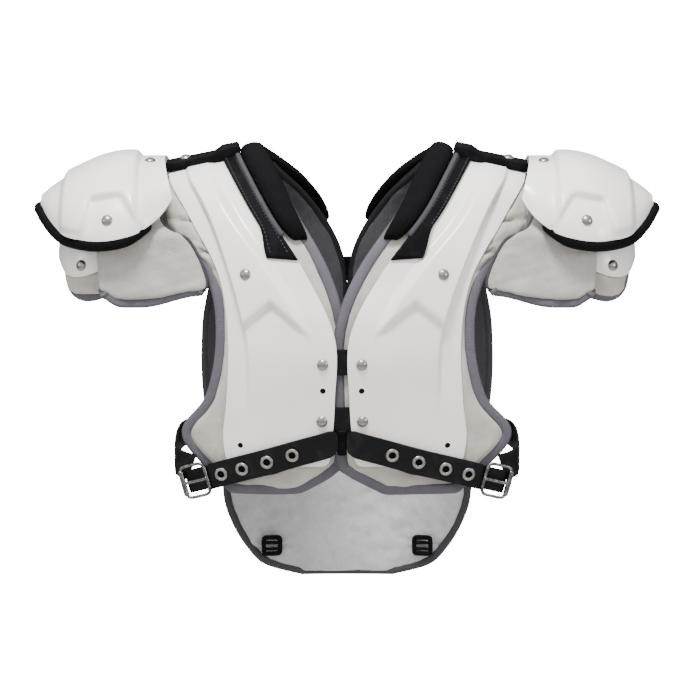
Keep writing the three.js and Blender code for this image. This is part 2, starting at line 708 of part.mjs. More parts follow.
// Webbing across the middle, in the gap between the plates
const WEB_WALL = 2.6;
const WEB_HEIGHT = 26;
const WEB_SIDE_GAP = 1.2;
function middleWeb(rise, front) {
  const middle = heightAt(rise);
  const gapAt = (z) => column(BODY, 'plateIn', shareAtHeight(0, z, front)) * REACH;
  const narrowest = Math.min(gapAt(middle - WEB_HEIGHT / 2), gapAt(middle + WEB_HEIGHT / 2));
  const half = narrowest - WEB_SIDE_GAP;
  return bodyPatch(1, {
    nearX: -half, farX: half, bottom: middle - WEB_HEIGHT / 2, top: middle + WEB_HEIGHT / 2, front,
  }, LAYER_GAP - PAD_TOP, LAYER_GAP - PAD_TOP + WEB_WALL);
}

// Hook under the lower chest web, between the ends of the belts
const HOOK_HALF = 6.5;
const HOOK_LOW = heightAt(0.036);
const HOOK_HIGH = heightAt(0.122);
const HOOK_WALL = 4.5;

// Assembly

// Places on the plates: share of REACH outwards, rise
const PLATE_HOLES = [[0.133, 0.252], [0.594, 0.066]];
const PLATE_RIVETS = { rib: [0.54, 0.636], chest_upper: [0.133, 0.351], chest_lower: [0.139, 0.172] };
const CAP_RIVETS = { cap_top: [0.2, 2], cap_front: [0.4, 5] };   // share of the span, steps round
const CUP_RIVET = [0.4, 5.4];
const BAR_RIVET_OUT = 0.917 * REACH;

for (const side of [-1, 1]) {
  const name = (word) => `${word}_${side < 0 ? 'left' : 'right'}`;

  const holes = PLATE_HOLES.map(([out, rise]) => plateSpot(side, out * REACH, heightAt(rise)));
  place(name('arch_plate'), drilled(archPlate(side), holes, HOLE_RADIUS), WHITE_PLASTIC);
  place(name('body_pad'), bodyPad(side), BEIGE_CLOTH);
  place(name('neck_pad'), neckPad(side), BLACK_CLOTH);
  place(name('neck_trim'), neckTrim(side), BLACK_PLASTIC);
  place(name('shoulder_bar'), shoulderBar(side), BLACK_PLASTIC);

  place(name('shoulder_cap'), domeWall(CAP, CAP_SIZES, side, {
    from: 0, to: CAP_SHELL_END, tuck: 0, outside: 0, thick: CAP_WALL,
  }, 9), WHITE_PLASTIC);
  place(name('cap_pad'), domeWall(CAP, CAP_SIZES, side, {
    from: CAP_PAD_FROM, to: 1, tuck: CAP_PAD_TUCK, outside: CAP_WALL + LAYER_GAP, thick: CAP_PAD_WALL,
  }, 8), BLACK_CLOTH);
  place(name('arm_cup'), domeWall(CUP, CUP_SIZES, side, {
    from: 0, to: 1, tuck: 0, outside: 0, thick: CUP_WALL,
  }, 5), WHITE_PLASTIC);
  place(name('arm_pad'), domeWall(CUP, CUP_SIZES, side, {
    from: 0, to: 1, tuck: ARM_PAD_TUCK, outside: CUP_WALL + LAYER_GAP, thick: ARM_PAD_WALL,
  }, 5), BEIGE_CLOTH);
  place(name('shoulder_flap'), shoulderFlap(side), GREY_CLOTH);

  const bores = GROMMET_PLACES.map((x) => beltSpot(side, x, beltHeight(x), 0));
  place(name('belt'), drilled(belt(side), bores, GROMMET_BORE), BLACK_STRAP);
  GROMMET_PLACES.forEach((x, k) => {
    const spot = beltSpot(side, x, beltHeight(x), STRAP_WALL + LAYER_GAP);
    place(`${name('grommet')}_${k + 1}`, grommet(spot), STEEL);
  });
  place(name('buckle'), buckle(side), STEEL);
  place(name('side_strap'), sideStrap(side), BLACK_STRAP);
  place(name('back_clip'), backClip(side), BLACK_PLASTIC);

  for (const [word, [out, rise]] of Object.entries(PLATE_RIVETS)) {
    const spot = plateSpot(side, out * REACH, heightAt(rise), LAYER_GAP);
    place(name(`rivet_${word}`), rivet(spot), STEEL);
  }
  for (const [word, [u, steps]] of Object.entries(CAP_RIVETS)) {
    const spot = domeSpot(CAP, CAP_SIZES, side, u, steps * DOME_STEP, LAYER_GAP);
    place(name(`rivet_${word}`), rivet(spot), STEEL);
  }
  const cupSpot = domeSpot(CUP, CUP_SIZES, side, CUP_RIVET[0], CUP_RIVET[1] * DOME_STEP, 0.1);
  place(name('rivet_arm_cup'), rivet(cupSpot), STEEL);
  const barTop = bodySurface(side, TOP, BAR_RIVET_OUT);
  barTop.z += 2 * LAYER_GAP + BAR_WALL;
  const barNormal = new THREE.Vector3(side * SHOULDER_SLOPE, 0, 1).normalize();
  place(name('rivet_bar'), rivet({ position: barTop, normal: barNormal }), STEEL);
}

place('back_pad', backPad(), GREY_CLOTH);
place('neck_patch', neckPatch(1), BLACK_CLOTH);
place('chest_web_upper', middleWeb(0.351, true), BLACK_STRAP);
place('chest_web_lower', middleWeb(0.169, true), BLACK_STRAP);
place('chest_hook', bodyPatch(1, {
  nearX: -HOOK_HALF, farX: HOOK_HALF, bottom: HOOK_LOW, top: HOOK_HIGH,
}, LAYER_GAP - PAD_TOP, LAYER_GAP - PAD_TOP + HOOK_WALL), BLACK_PLASTIC);
place('back_web_upper', middleWeb(0.6, false), BLACK_STRAP);
place('back_web_lower', middleWeb(0.142, false), BLACK_STRAP);

export default object;
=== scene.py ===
import math

import bpy
import numpy as np
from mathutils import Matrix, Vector


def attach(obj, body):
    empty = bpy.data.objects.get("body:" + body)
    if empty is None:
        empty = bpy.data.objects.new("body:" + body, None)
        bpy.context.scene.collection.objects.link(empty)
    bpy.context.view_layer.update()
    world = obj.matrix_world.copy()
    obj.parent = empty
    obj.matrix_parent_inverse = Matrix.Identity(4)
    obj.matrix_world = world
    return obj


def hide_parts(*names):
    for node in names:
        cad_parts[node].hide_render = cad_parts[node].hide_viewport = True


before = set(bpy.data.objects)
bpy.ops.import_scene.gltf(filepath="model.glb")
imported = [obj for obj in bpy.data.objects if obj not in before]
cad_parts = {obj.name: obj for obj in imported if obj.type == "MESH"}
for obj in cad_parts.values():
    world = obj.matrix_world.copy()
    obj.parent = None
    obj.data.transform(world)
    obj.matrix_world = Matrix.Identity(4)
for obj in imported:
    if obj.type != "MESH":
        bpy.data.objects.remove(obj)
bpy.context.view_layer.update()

# Studio
# A plain pale floor far below the pad, which is shown as it is worn, with a white sky that
# is brightest above the front, and three soft lamps. The camera stands 3.5 m in front and
# looks down by 5 degrees.


def paint(name, base_color, roughness):
    plain = bpy.data.materials.new(name)
    plain.use_nodes = True
    shader = plain.node_tree.nodes["Principled BSDF"]
    shader.inputs["Base Color"].default_value = base_color
    shader.inputs["Roughness"].default_value = roughness
    return plain


bpy.ops.object.select_all(action="DESELECT")
bpy.ops.mesh.primitive_plane_add(size=14, location=(0, 0, -3))
floor = bpy.context.object
floor.name = "floor"
floor.data.materials.append(paint("pale_floor", (0.93, 0.93, 0.92, 1), 0.9))
bpy.ops.object.transform_apply(location=True, rotation=True, scale=True)


class Value:
    """A socket of a node tree; sums and products of it add Math nodes"""

    def __init__(self, tree, socket=None):
        self.tree = tree
        self.socket = socket

    def node(self, kind, settings=None, output=0, **values):
        made = self.tree.nodes.new("ShaderNode" + kind)
        for name, value in (settings or {}).items():
            setattr(made, name, value)
        for name, value in values.items():
            label = name.replace("__", " ")
            match = [s for s in made.inputs if s.identifier == label or s.name == label]
            if isinstance(value, Value):
                self.tree.links.new(value.socket, match[0])
            else:
                match[0].default_value = value
        if isinstance(output, str):
            match = [s for s in made.outputs if output in (s.identifier, s.name)]
            return Value(self.tree, match[0])
        return Value(self.tree, made.outputs[output] if made.outputs else None)

    def math(self, operation, other=None, third=None):
        numbers = {"Value": self}
        if other is not None:
            numbers["Value_001"] = other
        if third is not None:
            numbers["Value_002"] = third
        return self.node("Math", {"operation": operation}, **numbers)

    def __add__(self, other):
        return self.math("ADD", other)

    def __mul__(self, other):
        return self.math("MULTIPLY", other)

    def __rsub__(self, other):
        return self.math("MULTIPLY_ADD", -1.0, other)

    __radd__ = __add__
    __rmul__ = __mul__

    def between(self, low, high):
        """0 below low and 1 above high"""
        return self.node("MapRange", {"interpolation_type": "SMOOTHSTEP"}, Value=self,
                         From__Min=low, From__Max=high)

    def blend(self, first, second):
        """From the first colour to the second as this value goes from 0 to 1"""
        return self.node("Mix", {"data_type": "RGBA"}, "Result_Color",
                         Factor_Float=self, A_Color=first, B_Color=second)

    def noise(self, scale, detail=3.0, roughness=0.55, distortion=0.0):
        """Noise that varies over this place"""
        return self.node("TexNoise", None, "Fac", Vector=self, Scale=scale, Detail=detail,
                         Roughness=roughness, Distortion=distortion)

    def bump(self, distance, strength=1.0, over=None):
        values = {"Height": self, "Distance": distance, "Strength": strength}
        if over is not None:
            values["Normal"] = over
        return self.node("Bump", None, **values)


sky = bpy.data.worlds.new("white_sky")
sky.use_nodes = True
sky.node_tree.nodes.clear()
start = Value(sky.node_tree)
facing = start.node("VectorMath", {"operation": "DOT_PRODUCT"}, "Value",
                    Vector=start.node("TexCoord", None, "Generated"),
                    Vector_001=(-0.1, -0.5, 0.86))
light = start.node("Background", None, Strength=0.22 + 2.1 * facing.between(-0.25, 0.95))
seen = start.node("Background", None, Strength=24.0)
camera_ray = start.node("LightPath", None, "Is Camera Ray")
both = start.node("MixShader", None, Fac=camera_ray, Shader=light, Shader_001=seen)
start.node("OutputWorld", None, Surface=both)
bpy.context.scene.world = sky


def soft_lamp(name, place, target, size, power):
    aim = (Vector(target) - Vector(place)).to_track_quat("-Z", "Y").to_euler()
    bpy.ops.object.light_add(type="AREA", location=place, rotation=aim)
    lamp = bpy.context.object
    lamp.name = name
    lamp.data.shape = "DISK"
    lamp.data.size = size
    lamp.data.energy = power


soft_lamp("lamp_above", (-0.3, -1.1, 2.2), (0, 0, -0.1), 0.6, 150)
soft_lamp("lamp_left", (-2.6, -0.9, 0.6), (0, 0, -0.15), 0.6, 12)
soft_lamp("lamp_right", (2.4, -1.4, 0.5), (0, 0, -0.15), 0.7, 30)

bpy.ops.object.camera_add(location=(0.003, -3.5867, 0.1632), rotation=(math.radians(85), 0, 0))
camera = bpy.context.object
camera.data.sensor_width = 36
camera.data.lens = 180
camera.data.clip_end = 60
bpy.context.scene.camera = camera

# Arch plates
# Two hard shells of white moulded plastic, from the chest over the shoulders to the back.
# Each has a raised rib with a chisel end at the chest and the back, a low step below it,
# rounded corners and two open lacing holes.

REACH = 0.180
HALF_DEPTH = 0.125
BODY_HEIGHT = 0.307
HEM_DROP = 0.258
CHEST_CURVE = 0.35
SHOULDER_SLOPE = 0.2
PLATE_WALL = 0.003
LAYER_GAP = 0.0005
RIB_HEIGHT = 0.0100
STEP_HEIGHT = 0.0050
CHISEL_OUT, CHISEL_HIGH = 0.0745, -0.0915
RIGHT_LAP = 0.0095
SIDES = ((-1, "left"), (1, "right"))

# The body from the chest hem over the shoulder to the back hem, evenly along its length
BODY = {
    "rise": [-0.085, -0.03, 0, 0.10, 0.22, 0.42, 0.62, 0.80, 0.945,
             1, 0.945, 0.82, 0.64, 0.42, 0.20, 0, -0.05],
    "forward": [-0.86, -0.88, -0.90, -0.94, -0.98, -1, -0.95, -0.78, -0.45,
                0, 0.45, 0.78, 0.94, 1, 0.98, 0.92, 0.90],
    "plate_in": [0.10, 0.10, 0.10, 0.08, 0.067, 0.067, 0.23, 0.435, 0.575,
                 0.628, 0.58, 0.43, 0.20, 0.067, 0.067, 0.09, 0.10],
    "plate_out": [0.65, 0.66, 0.67, 0.69, 0.67, 0.66, 0.71, 0.86, 0.99,
                  1.01, 0.99, 0.89, 0.73, 0.70, 0.72, 0.70, 0.68],
    "pad_in": [0.26, 0.085, 0.03, 0.015, 0.008, 0.008, 0.11, 0.285, 0.41,
               0.48, 0.40, 0.217, 0.04, 0.008, 0.008, 0.02, 0.11],
    "pad_out": [0.66, 0.76, 0.81, 0.93, 0.79, 0.73, 0.785, 1.05, 1.07,
                1.06, 1.05, 1.01, 0.81, 0.85, 0.85, 0.79, 0.72],
    "rib_in": [0.24, 0.24, 0.24, 0.24, 0.24, 0.24, 0.425, 0.645, 0.77,
               0.79, 0.77, 0.645, 0.44, 0.30, 0.28, 0.28, 0.28],
    "rib_out": [0.545, 0.545, 0.545, 0.545, 0.545, 0.555, 0.64, 0.752, 0.88,
                0.90, 0.88, 0.76, 0.65, 0.58, 0.57, 0.565, 0.56],
}
TOP = 9 / 16
NECK_HALF = BODY["plate_in"][9] * REACH


def smooth(values, t):
    """Smooth value at share t of a list of evenly spaced numbers"""
    values = np.asarray(values, float)
    last = len(values) - 1
    along = np.clip(t, 0, 1) * last
    row = np.minimum(np.floor(along).astype(int), last - 1)
    f = along - row
    a, b = values[np.maximum(row - 1, 0)], values[row]
    c, d = values[row + 1], values[np.minimum(row + 2, last)]
    curve = 2 * a - 5 * b + 4 * c - d + f * (3 * (b - c) + d - a)
    return b + 0.5 * f * (c - a + f * curve)


def ease(low, high, x):
    """0 below low, 1 above high, and a soft S between them"""
    f = np.clip((x - low) / (high - low), 0, 1)
    return f * f * (3 - 2 * f)


def mix(a, b, f):
    return a + (b - a) * f


def across(name, t):
    return smooth(BODY[name], t) * REACH


def xyz(x, y, z):
    return np.stack(np.broadcast_arrays(x, y, z), -1)


def body_surface(side, t, x):
    """A place on the body line; the right half lies further left at the middle"""
    lap = RIGHT_LAP * (1 - ease(0.33, 0.46, t)) * (1 - ease(0.05, 0.19, x)) * (side > 0)
    rise = smooth(BODY["rise"], t)
    narrow = 1 - CHEST_CURVE * (x / REACH) ** 2
    fall = SHOULDER_SLOPE * (x - NECK_HALF) * np.maximum(0, rise) ** 3
    forward = smooth(BODY["forward"], t) * HALF_DEPTH * narrow
    height = rise * BODY_HEIGHT - HEM_DROP - fall
    return xyz(side * x - lap, forward, height)


def unit(vectors):
    return vectors / np.maximum(np.linalg.norm(vectors, axis=-1, keepdims=True), 1e-9)


def body_normal(side, t, x):
    along = body_surface(side, t + 0.004, x) - body_surface(side, t - 0.004, x)
    out = body_surface(side, t, x + 0.001) - body_surface(side, t, x - 0.001)
    return unit(np.cross(out, along)) * side


def body_point(side, t, x, lift):
    return body_surface(side, t, x) + body_normal(side, t, x) * np.asarray(lift)[..., None]


def share_at_height(x, z, front=True):
    x, z = np.broadcast_arrays(np.asarray(x, float), np.asarray(z, float))
    low = np.zeros(x.shape) if front else np.ones(x.shape)
    high = np.full(x.shape, TOP)
    for _ in range(30):
        middle = (low + high) / 2
        below = body_surface(1, middle, x)[..., 2] < z
        low = np.where(below, middle, low)
        high = np.where(below, high, middle)
    return (low + high) / 2


def plate_relief(t, x):
    """Rib, chisel ends and step of a plate, as height above the plain shell"""
    height = body_surface(1, t, x)[..., 2]
    rib_out = across("rib_out", t)
    rib_in = across("rib_in", t)
    inside = 1 - ease(rib_out - 0.0016, rib_out + 0.0030, x)
    outside = ease(rib_in - 0.0105, rib_in + 0.0015, x)
    step = STEP_HEIGHT * (1 - ease(-0.115, -0.07, height)) * ease(-0.215, -0.14, height)
    chisel = CHISEL_HIGH - 0.82 * np.abs(x - CHISEL_OUT)
    above = ease(-0.0075, 0.0010, height - chisel)
    fade = 1 - 0.75 * ease(0.0, 0.035, height)
    crown = RIB_HEIGHT * fade - step
    return inside * (step + outside * above * crown)


def deselect():
    bpy.ops.object.select_all(action="DESELECT")


def choose(piece):
    deselect()
    piece.select_set(True)
    bpy.context.view_layer.objects.active = piece


def edit(piece, *steps):
    """Edit-mode operators on all of a piece"""
    choose(piece)
    bpy.ops.object.mode_set(mode="EDIT")
    bpy.ops.mesh.select_all(action="SELECT")
    for operator, settings in steps:
        operator(**settings)
    bpy.ops.object.mode_set(mode="OBJECT")


def modify(piece, kind, **settings):
    choose(piece)
    modifier = piece.modifiers.new(kind.title(), kind)
    for name, value in settings.items():
        setattr(modifier, name, value)
    bpy.ops.object.modifier_apply(modifier=modifier.name)


def grid(name, rows, columns, where, size, merge=None):
    """A grid whose points are moved to where(u, v), with a UV map in metres

    A closed form gives the distance within which the points of its seams are merged.
    """
    deselect()
    bpy.ops.mesh.primitive_grid_add(x_subdivisions=columns, y_subdivisions=rows, size=1)
    piece = bpy.context.object
    piece.name = name
    mesh = piece.data
    mesh.name = name
    flat = np.empty(len(mesh.vertices) * 3, np.float32)
    mesh.vertices.foreach_get("co", flat)
    flat = flat.reshape(-1, 3).astype(float)
    points = where(np.round(flat[:, 1] + 0.5, 6), np.round(flat[:, 0] + 0.5, 6))
    mesh.vertices.foreach_set("co", np.ascontiguousarray(points, np.float32).ravel())
    uv = np.empty(len(mesh.loops) * 2, np.float32)
    mesh.uv_layers.active.data.foreach_get("uv", uv)
    uv = (uv.reshape(-1, 2) * np.array(size)).astype(np.float32)
    mesh.uv_layers.active.data.foreach_set("uv", uv.ravel())
    mesh.update()
    if merge:
        close_up(piece, merge)
    return piece


def close_up(piece, distance):
    """Merges the seams of a closed form and turns its faces outwards"""
    edit(
        piece,
        (bpy.ops.mesh.remove_doubles, {"threshold": distance}),
        (bpy.ops.mesh.normals_make_consistent, {"inside": False}),
    )
    mesh = piece.data
    volume = 0.0
    mesh.calc_loop_triangles()
    for triangle in mesh.loop_triangles:
        a, b, c = (mesh.vertices[k].co for k in triangle.vertices)
        volume += a.dot(b.cross(c))
    if volume < 0:
        edit(piece, (bpy.ops.mesh.flip_normals, {}))


def face_from(piece, heart):
    """Turns an open sheet so that its faces look away from a point"""
    heart = Vector(heart)
    facing = sum(face.normal.dot(face.center - heart) * face.area for face in piece.data.polygons)
    if facing < 0:
        edit(piece, (bpy.ops.mesh.flip_normals, {}))


def shell(piece, heart, wall, edge):
    """Gives an open sheet a wall inwards and small rounded edges"""
    face_from(piece, heart)
    modify(piece, "SOLIDIFY", thickness=wall, offset=-1)
    modify(piece, "BEVEL", width=edge, segments=2, limit_method="ANGLE",
           angle_limit=math.radians(62))
    close_up(piece, 1e-6)


def drum(place, normal, radius, depth):
    deselect()
    turn = Vector(normal).to_track_quat("Z", "Y").to_euler()
    bpy.ops.mesh.primitive_cylinder_add(
        vertices=32, radius=radius, depth=depth, location=place, rotation=turn)
    return bpy.context.object


def bore(piece, spots, radius):
    """Cuts round holes through a piece"""
    cutters = [drum(point, normal, radius, 0.02) for point, normal in spots]
    for cutter in cutters:
        cutter.select_set(True)
    bpy.context.view_layer.objects.active = cutters[0]
    if len(cutters) > 1:
        bpy.ops.object.join()
    modify(piece, "BOOLEAN", operation="DIFFERENCE", object=cutters[0], solver="EXACT")
    bpy.data.objects.remove(cutters[0])


def finish(name, pattern, **fixed):
    """A material; pattern(place, uv) gives what varies over the surface"""
    made = bpy.data.materials.new(name)
    made.use_nodes = True
    tree = made.node_tree
    tree.nodes.clear()
    start = Value(tree)
    place = start.node("TexCoord", None, "Object")
    uv = start.node("UVMap", None, "UV")
    values = {**fixed, **{key.replace(" ", "__"): v for key, v in pattern(place, uv).items()}}
    shader = start.node("BsdfPrincipled", None, "BSDF", **values)
    start.node("OutputMaterial", None, Surface=shader)
    return made


def settle(piece, finishes, nodes=(), angle=60):
    """Shading, finishes, body and the CAD nodes that a piece stands for"""
    if angle:
        choose(piece)
        bpy.ops.object.shade_smooth_by_angle(angle=math.radians(angle))
    piece.data.materials.clear()
    for one in finishes:
        piece.data.materials.append(one)
    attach(piece, "root")
    if nodes:
        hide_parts(*nodes)


def white_shell(place, uv):
    """Moulded white plastic: fine grain, faint clouds and a few dull scuffs"""
    clouds = place.noise(14.0, 4.0)
    scuffs = place.noise(60.0, 8.0, 0.72, 0.6).between(0.56, 0.72)
    grain = place.noise(1500.0, 2.0)
    waves = place.noise(22.0, 2.0)
    return {
        "Base Color": clouds.between(0.3, 0.7).blend(
            (0.70, 0.675, 0.64, 1), (0.76, 0.735, 0.70, 1)),
        "Roughness": 0.27 + 0.16 * scuffs + 0.06 * grain,
        "Coat Weight": 0.35 - 0.2 * scuffs,
        "Normal": (grain * 0.12 + waves).bump(0.0006, 0.35),
    }


WHITE_PLASTIC = finish("white_plastic", white_shell, Coat__Roughness=0.18)

PLATE_FROM, PLATE_TO = 2 / 16, 15 / 16
PLATE_HOLES = [(0.133, 0.252), (0.594, 0.066)]   # share of the reach, rise
HOLE_RADIUS = 0.0029
HEM_PITCH = 0.52    # metres of body line to a share of 1, near the hems


def height_at(rise):
    return rise * BODY_HEIGHT - HEM_DROP


def plate_spot(side, x, z, raised=0.0):
    t = share_at_height(x, z)
    lift = plate_relief(t, x) + raised
    return body_point(side, t, x, lift), body_normal(side, t, x)


def shade_disc(name, place, normal, radius):
    """A near-black disc inside a small hole: painted shade for the hole's depth"""
    inside = drum(place, normal, radius, 0.0008)
    inside.name = name
    bpy.ops.object.transform_apply(location=True, rotation=True, scale=True)
    settle(inside, [HOLE_SHADE], angle=None)


# Painted shade: near-black colour with a faint mottle, standing in for the dark depth of an open
# hole
def painted_hole_shade(place, uv):
    shade_mottle = place.noise(900.0, 3.0)
    return {"Base Color": shade_mottle.blend((0.004, 0.004, 0.004, 1), (0.012, 0.011, 0.011, 1)),
            "Roughness": 0.8 + 0.1 * shade_mottle}


HOLE_SHADE = finish("hole_painted_shade", painted_hole_shade, Specular__IOR__Level=0.0)


def plate_share(v):
    """Even steps across a plate, closer together at its edges and at the rib"""
    return v - 0.045 * np.sin(2 * np.pi * v)


for side, word in SIDES:

    def plate_point(u, v):
        s = plate_share(v)
        # corners of the hems are rounded by starting later there
        middle_x = mix(across("plate_in", PLATE_FROM), across("plate_out", PLATE_FROM), s)
        width = across("plate_out", PLATE_FROM) - across("plate_in", PLATE_FROM)
        from_edge = np.minimum(s, 1 - s) * width
        radius = np.where(s > 0.5, 0.011, 0.009)
        cut = radius - np.sqrt(np.maximum(radius ** 2 - np.maximum(radius - from_edge, 0) ** 2, 0))
        start = PLATE_FROM + cut / HEM_PITCH
        stop = PLATE_TO - cut / HEM_PITCH
        t = mix(start, stop, u)
        x = mix(across("plate_in", t), across("plate_out", t), s)
        return body_point(side, t, x, plate_relief(t, x))

    plate = grid(f"plate_{word}", 250, 76, plate_point, (0.1, 0.78))
    shell(plate, (side * 0.09, 0, -0.16), PLATE_WALL, 0.0009)
    holes = [plate_spot(side, out * REACH, height_at(rise)) for out, rise in PLATE_HOLES]
    bore(plate, holes, HOLE_RADIUS)
    settle(plate, [WHITE_PLASTIC], [f"arch_plate_{word}"], angle=50)
    # a near-black disc inside each open lacing hole, as painted shade for its depth
    for k, (point, normal) in enumerate(holes):
        shade_disc(f"lace_hole_shade_{word}_{k + 1}", point - normal * 0.0017, normal,
               HOLE_RADIUS - 0.0001)

# Rivets
# Domed nickel-plated heads, three on each chest plate, two on each cap, one on each arm cup
# and one on each shoulder bar, all turned from one profile.


def nickel(place, uv):
    """Plated steel with fine rubbing and faint dull spots"""
    spots = place.noise(260.0, 5.0, 0.6).between(0.5, 0.75)
    rubbed = place.noise(900.0, 3.0)
    return {
        "Base Color": spots.blend((0.25, 0.235, 0.215, 1), (0.15, 0.14, 0.13, 1)),
        "Roughness": 0.26 + 0.14 * spots + 0.08 * rubbed,
        "Normal": rubbed.bump(0.0001, 0.3),
    }


STEEL = finish("nickel_steel", nickel, Metallic=1.0)


def turned(name, profile, place, normal):
    """A profile of (radius, height) turned round a normal"""
    normal = Vector(normal).normalized()
    frame_turn = np.array(normal.to_track_quat("Z", "Y").to_matrix())
    radii = np.array([point[0] for point in profile], float)
    heights = np.array([point[1] for point in profile], float)
    last = len(profile) - 1

    def where(u, v):
        row = np.round(u * last).astype(int)
        angle = 2 * np.pi * v
        flat = xyz(radii[row] * np.cos(angle), radii[row] * np.sin(angle), heights[row])
        return flat @ frame_turn.T + np.array(place)

    return grid(name, last, 32, where, (0.01, 0.03), 1e-5)


RIVET = [(0, 0.0029), (0.0012, 0.00285), (0.0026, 0.0025), (0.0040, 0.0019), (0.0050, 0.0011),
         (0.0055, 0.0005), (0.0056, 0.0001), (0.0052, 0), (0, 0)]


def rivet(word, spot):
    point, normal = spot
    head = turned(f"head_{word}", RIVET, point, normal)
    settle(head, [STEEL], [f"rivet_{word}"])


PLATE_RIVETS = {"rib": (0.548, 0.622), "chest_upper": (0.133, 0.338), "chest_lower": (0.139, 0.150)}
for side, word in SIDES:
    for label, (out, rise) in PLATE_RIVETS.items():
        rivet(f"{label}_{word}", plate_spot(side, out * REACH, height_at(rise), 0.0002))

# Body pads
# Two padded halves behind the plates: foam in coated beige nylon, with a dark mesh lining
# on the wearer's side, sewn channels at the shoulder and a ribbed binding round the edges.

PAD_GAP = 0.0009
PAD_WALL = 0.018
PAD_TOP = PLATE_WALL + PAD_GAP
PAD_OUTER = 0.3 * PAD_WALL    # the part of the wall on the plate's side of the pad's edge
PAD_HEM = 0.004


def power(a, e):
    return np.sign(a) * np.abs(a) ** e


def section(v, flat, full):
    """Share across and swell of a closed form, at share v of the way round it"""
    turn = 2 * np.pi * v
    return 0.5 - 0.5 * power(np.cos(turn), flat), power(np.sin(turn), full)


def round_end(u, reach):
    """1 along a piece, falling in a quarter circle over reach at both ends"""
    near = np.clip(np.minimum(u, 1 - u) / reach, 0, 1)
    return np.sqrt(np.maximum(1 - (1 - near) ** 2, 0))


def crease(distance, width):
    return np.exp(-(distance / width) ** 2)


def ripple(points, size, seed):
    """A smooth uneven field from -1 to 1, the same on each run"""
    waves = np.random.default_rng(seed)
    total = np.zeros(points.shape[:-1])
    for _ in range(7):
        direction = waves.normal(size=3)
        direction *= 2 * np.pi / (size * np.linalg.norm(direction) * waves.uniform(0.7, 1.5))
        total += np.sin(points @ direction + waves.uniform(0, 2 * np.pi))
    return total / 3.2


def weave(uv, pitch):
    """Threads over and under, on a map in metres"""
    along = uv.node("SeparateXYZ", None, "X", Vector=uv)
    over = uv.node("SeparateXYZ", None, "Y", Vector=uv)
    turn = 2 * math.pi / pitch
    return (along * turn).math("SINE") * (over * turn).math("SINE")


def beige_nylon(place, uv):
    threads = weave(uv, 0.0008)
    soil = place.noise(30.0, 5.0, 0.6)
    folds = place.noise(90.0, 3.0, 0.5, 0.8)
    return {
        "Base Color": soil.between(0.3, 0.7).blend(
            (0.33, 0.305, 0.265, 1), (0.41, 0.38, 0.335, 1)),
        "Roughness": 0.62 + 0.15 * soil,
        "Normal": folds.bump(0.0016, 0.5, threads.bump(0.00012, 0.5)),
    }


def mesh_lining(place, uv):
    holes = weave(uv, 0.0022)
    soil = place.noise(25.0, 4.0)
    return {
        "Base Color": soil.blend((0.045, 0.043, 0.048, 1), (0.075, 0.072, 0.079, 1)),
        "Roughness": 0.8 + 0.1 * soil,
        "Normal": holes.bump(0.0004, 0.6),
    }


def ribbed_tape(dark, light):
    def pattern(place, uv):
        along = uv.node("SeparateXYZ", None, "X", Vector=uv)
        ribs = (along * (2 * math.pi / 0.0011)).math("SINE")
        soil = place.noise(60.0, 4.0)
        return {
            "Base Color": soil.blend(dark, light),
            "Roughness": 0.66 + 0.14 * soil,
            "Normal": ribs.bump(0.00025, 0.5),
        }
    return pattern


BEIGE_NYLON = finish("beige_nylon", beige_nylon, Sheen__Weight=0.12)
LINING = finish("mesh_lining", mesh_lining, Specular__IOR__Level=0.1)
LILAC_TAPE = finish("lilac_tape", ribbed_tape((0.070, 0.064, 0.078, 1), (0.105, 0.097, 0.115, 1)),
                    Specular__IOR__Level=0.15)
BLACK_TAPE = finish("black_tape", ribbed_tape((0.006, 0.006, 0.007, 1), (0.014, 0.014, 0.016, 1)),
                    Specular__IOR__Level=0.1)
GREY_TAPE = finish("grey_tape", ribbed_tape((0.034, 0.032, 0.037, 1), (0.052, 0.050, 0.056, 1)),
                    Specular__IOR__Level=0.12)


def band(name, path, normals, half_width, half_wall, cover, nodes=(), sides=14,
         corner=0.55, ring=False, angle=60):
    """A tape, roll or wire swept along a path of points, finished and settled"""
    path = np.asarray(path, float)
    normals = np.broadcast_to(np.asarray(normals, float), path.shape)
    count = len(path) - 1
    if ring:
        step = np.roll(path[:-1], -1, 0) - np.roll(path[:-1], 1, 0)
        along = unit(np.vstack([step, step[:1]]))
    else:
        along = unit(np.gradient(path, axis=0))
    across_path = unit(np.cross(along, normals))
    up = unit(np.cross(across_path, along))
    length = float(np.linalg.norm(np.diff(path, axis=0), axis=1).sum())

    def where(u, v):
        row = np.round(u * count).astype(int)
        turn = 2 * np.pi * v
        end = 1.0 if ring else round_end(u, max(half_wall, 0.001) / length + 1e-6)
        flat = across_path[row] * (power(np.cos(turn), corner) * half_width * end)[:, None]
        high = up[row] * (power(np.sin(turn), corner) * half_wall * end)[:, None]
        return path[row] + flat + high

    piece = grid(name, count, sides, where, (4 * half_width, length), 2e-5)
    swap_uv(piece)
    settle(piece, [cover], nodes, angle=angle)


def soften(path, times):
    """Rounds the corners of a path, with its ends kept"""
    for _ in range(times):
        path[1:-1] = (path[:-2] + 2 * path[1:-1] + path[2:]) / 4


def swap_uv(piece):
    """Puts the length of a tape on U"""
    layer = piece.data.uv_layers.active.data
    uv = np.empty(len(piece.data.loops) * 2, np.float32)
    layer.foreach_get("uv", uv)
    layer.foreach_set("uv", np.ascontiguousarray(uv.reshape(-1, 2)[:, ::-1]).ravel())


def pad_edges(side, t):
    """Inner and outer edge of a half; the right half laps over the left at the chest"""
    lap = 0.003 * ease(0.02, 0.10, t) * (1 - ease(0.30, 0.42, t)) if side > 0 else 0.0
    return across("pad_in", t) - lap, across("pad_out", t)


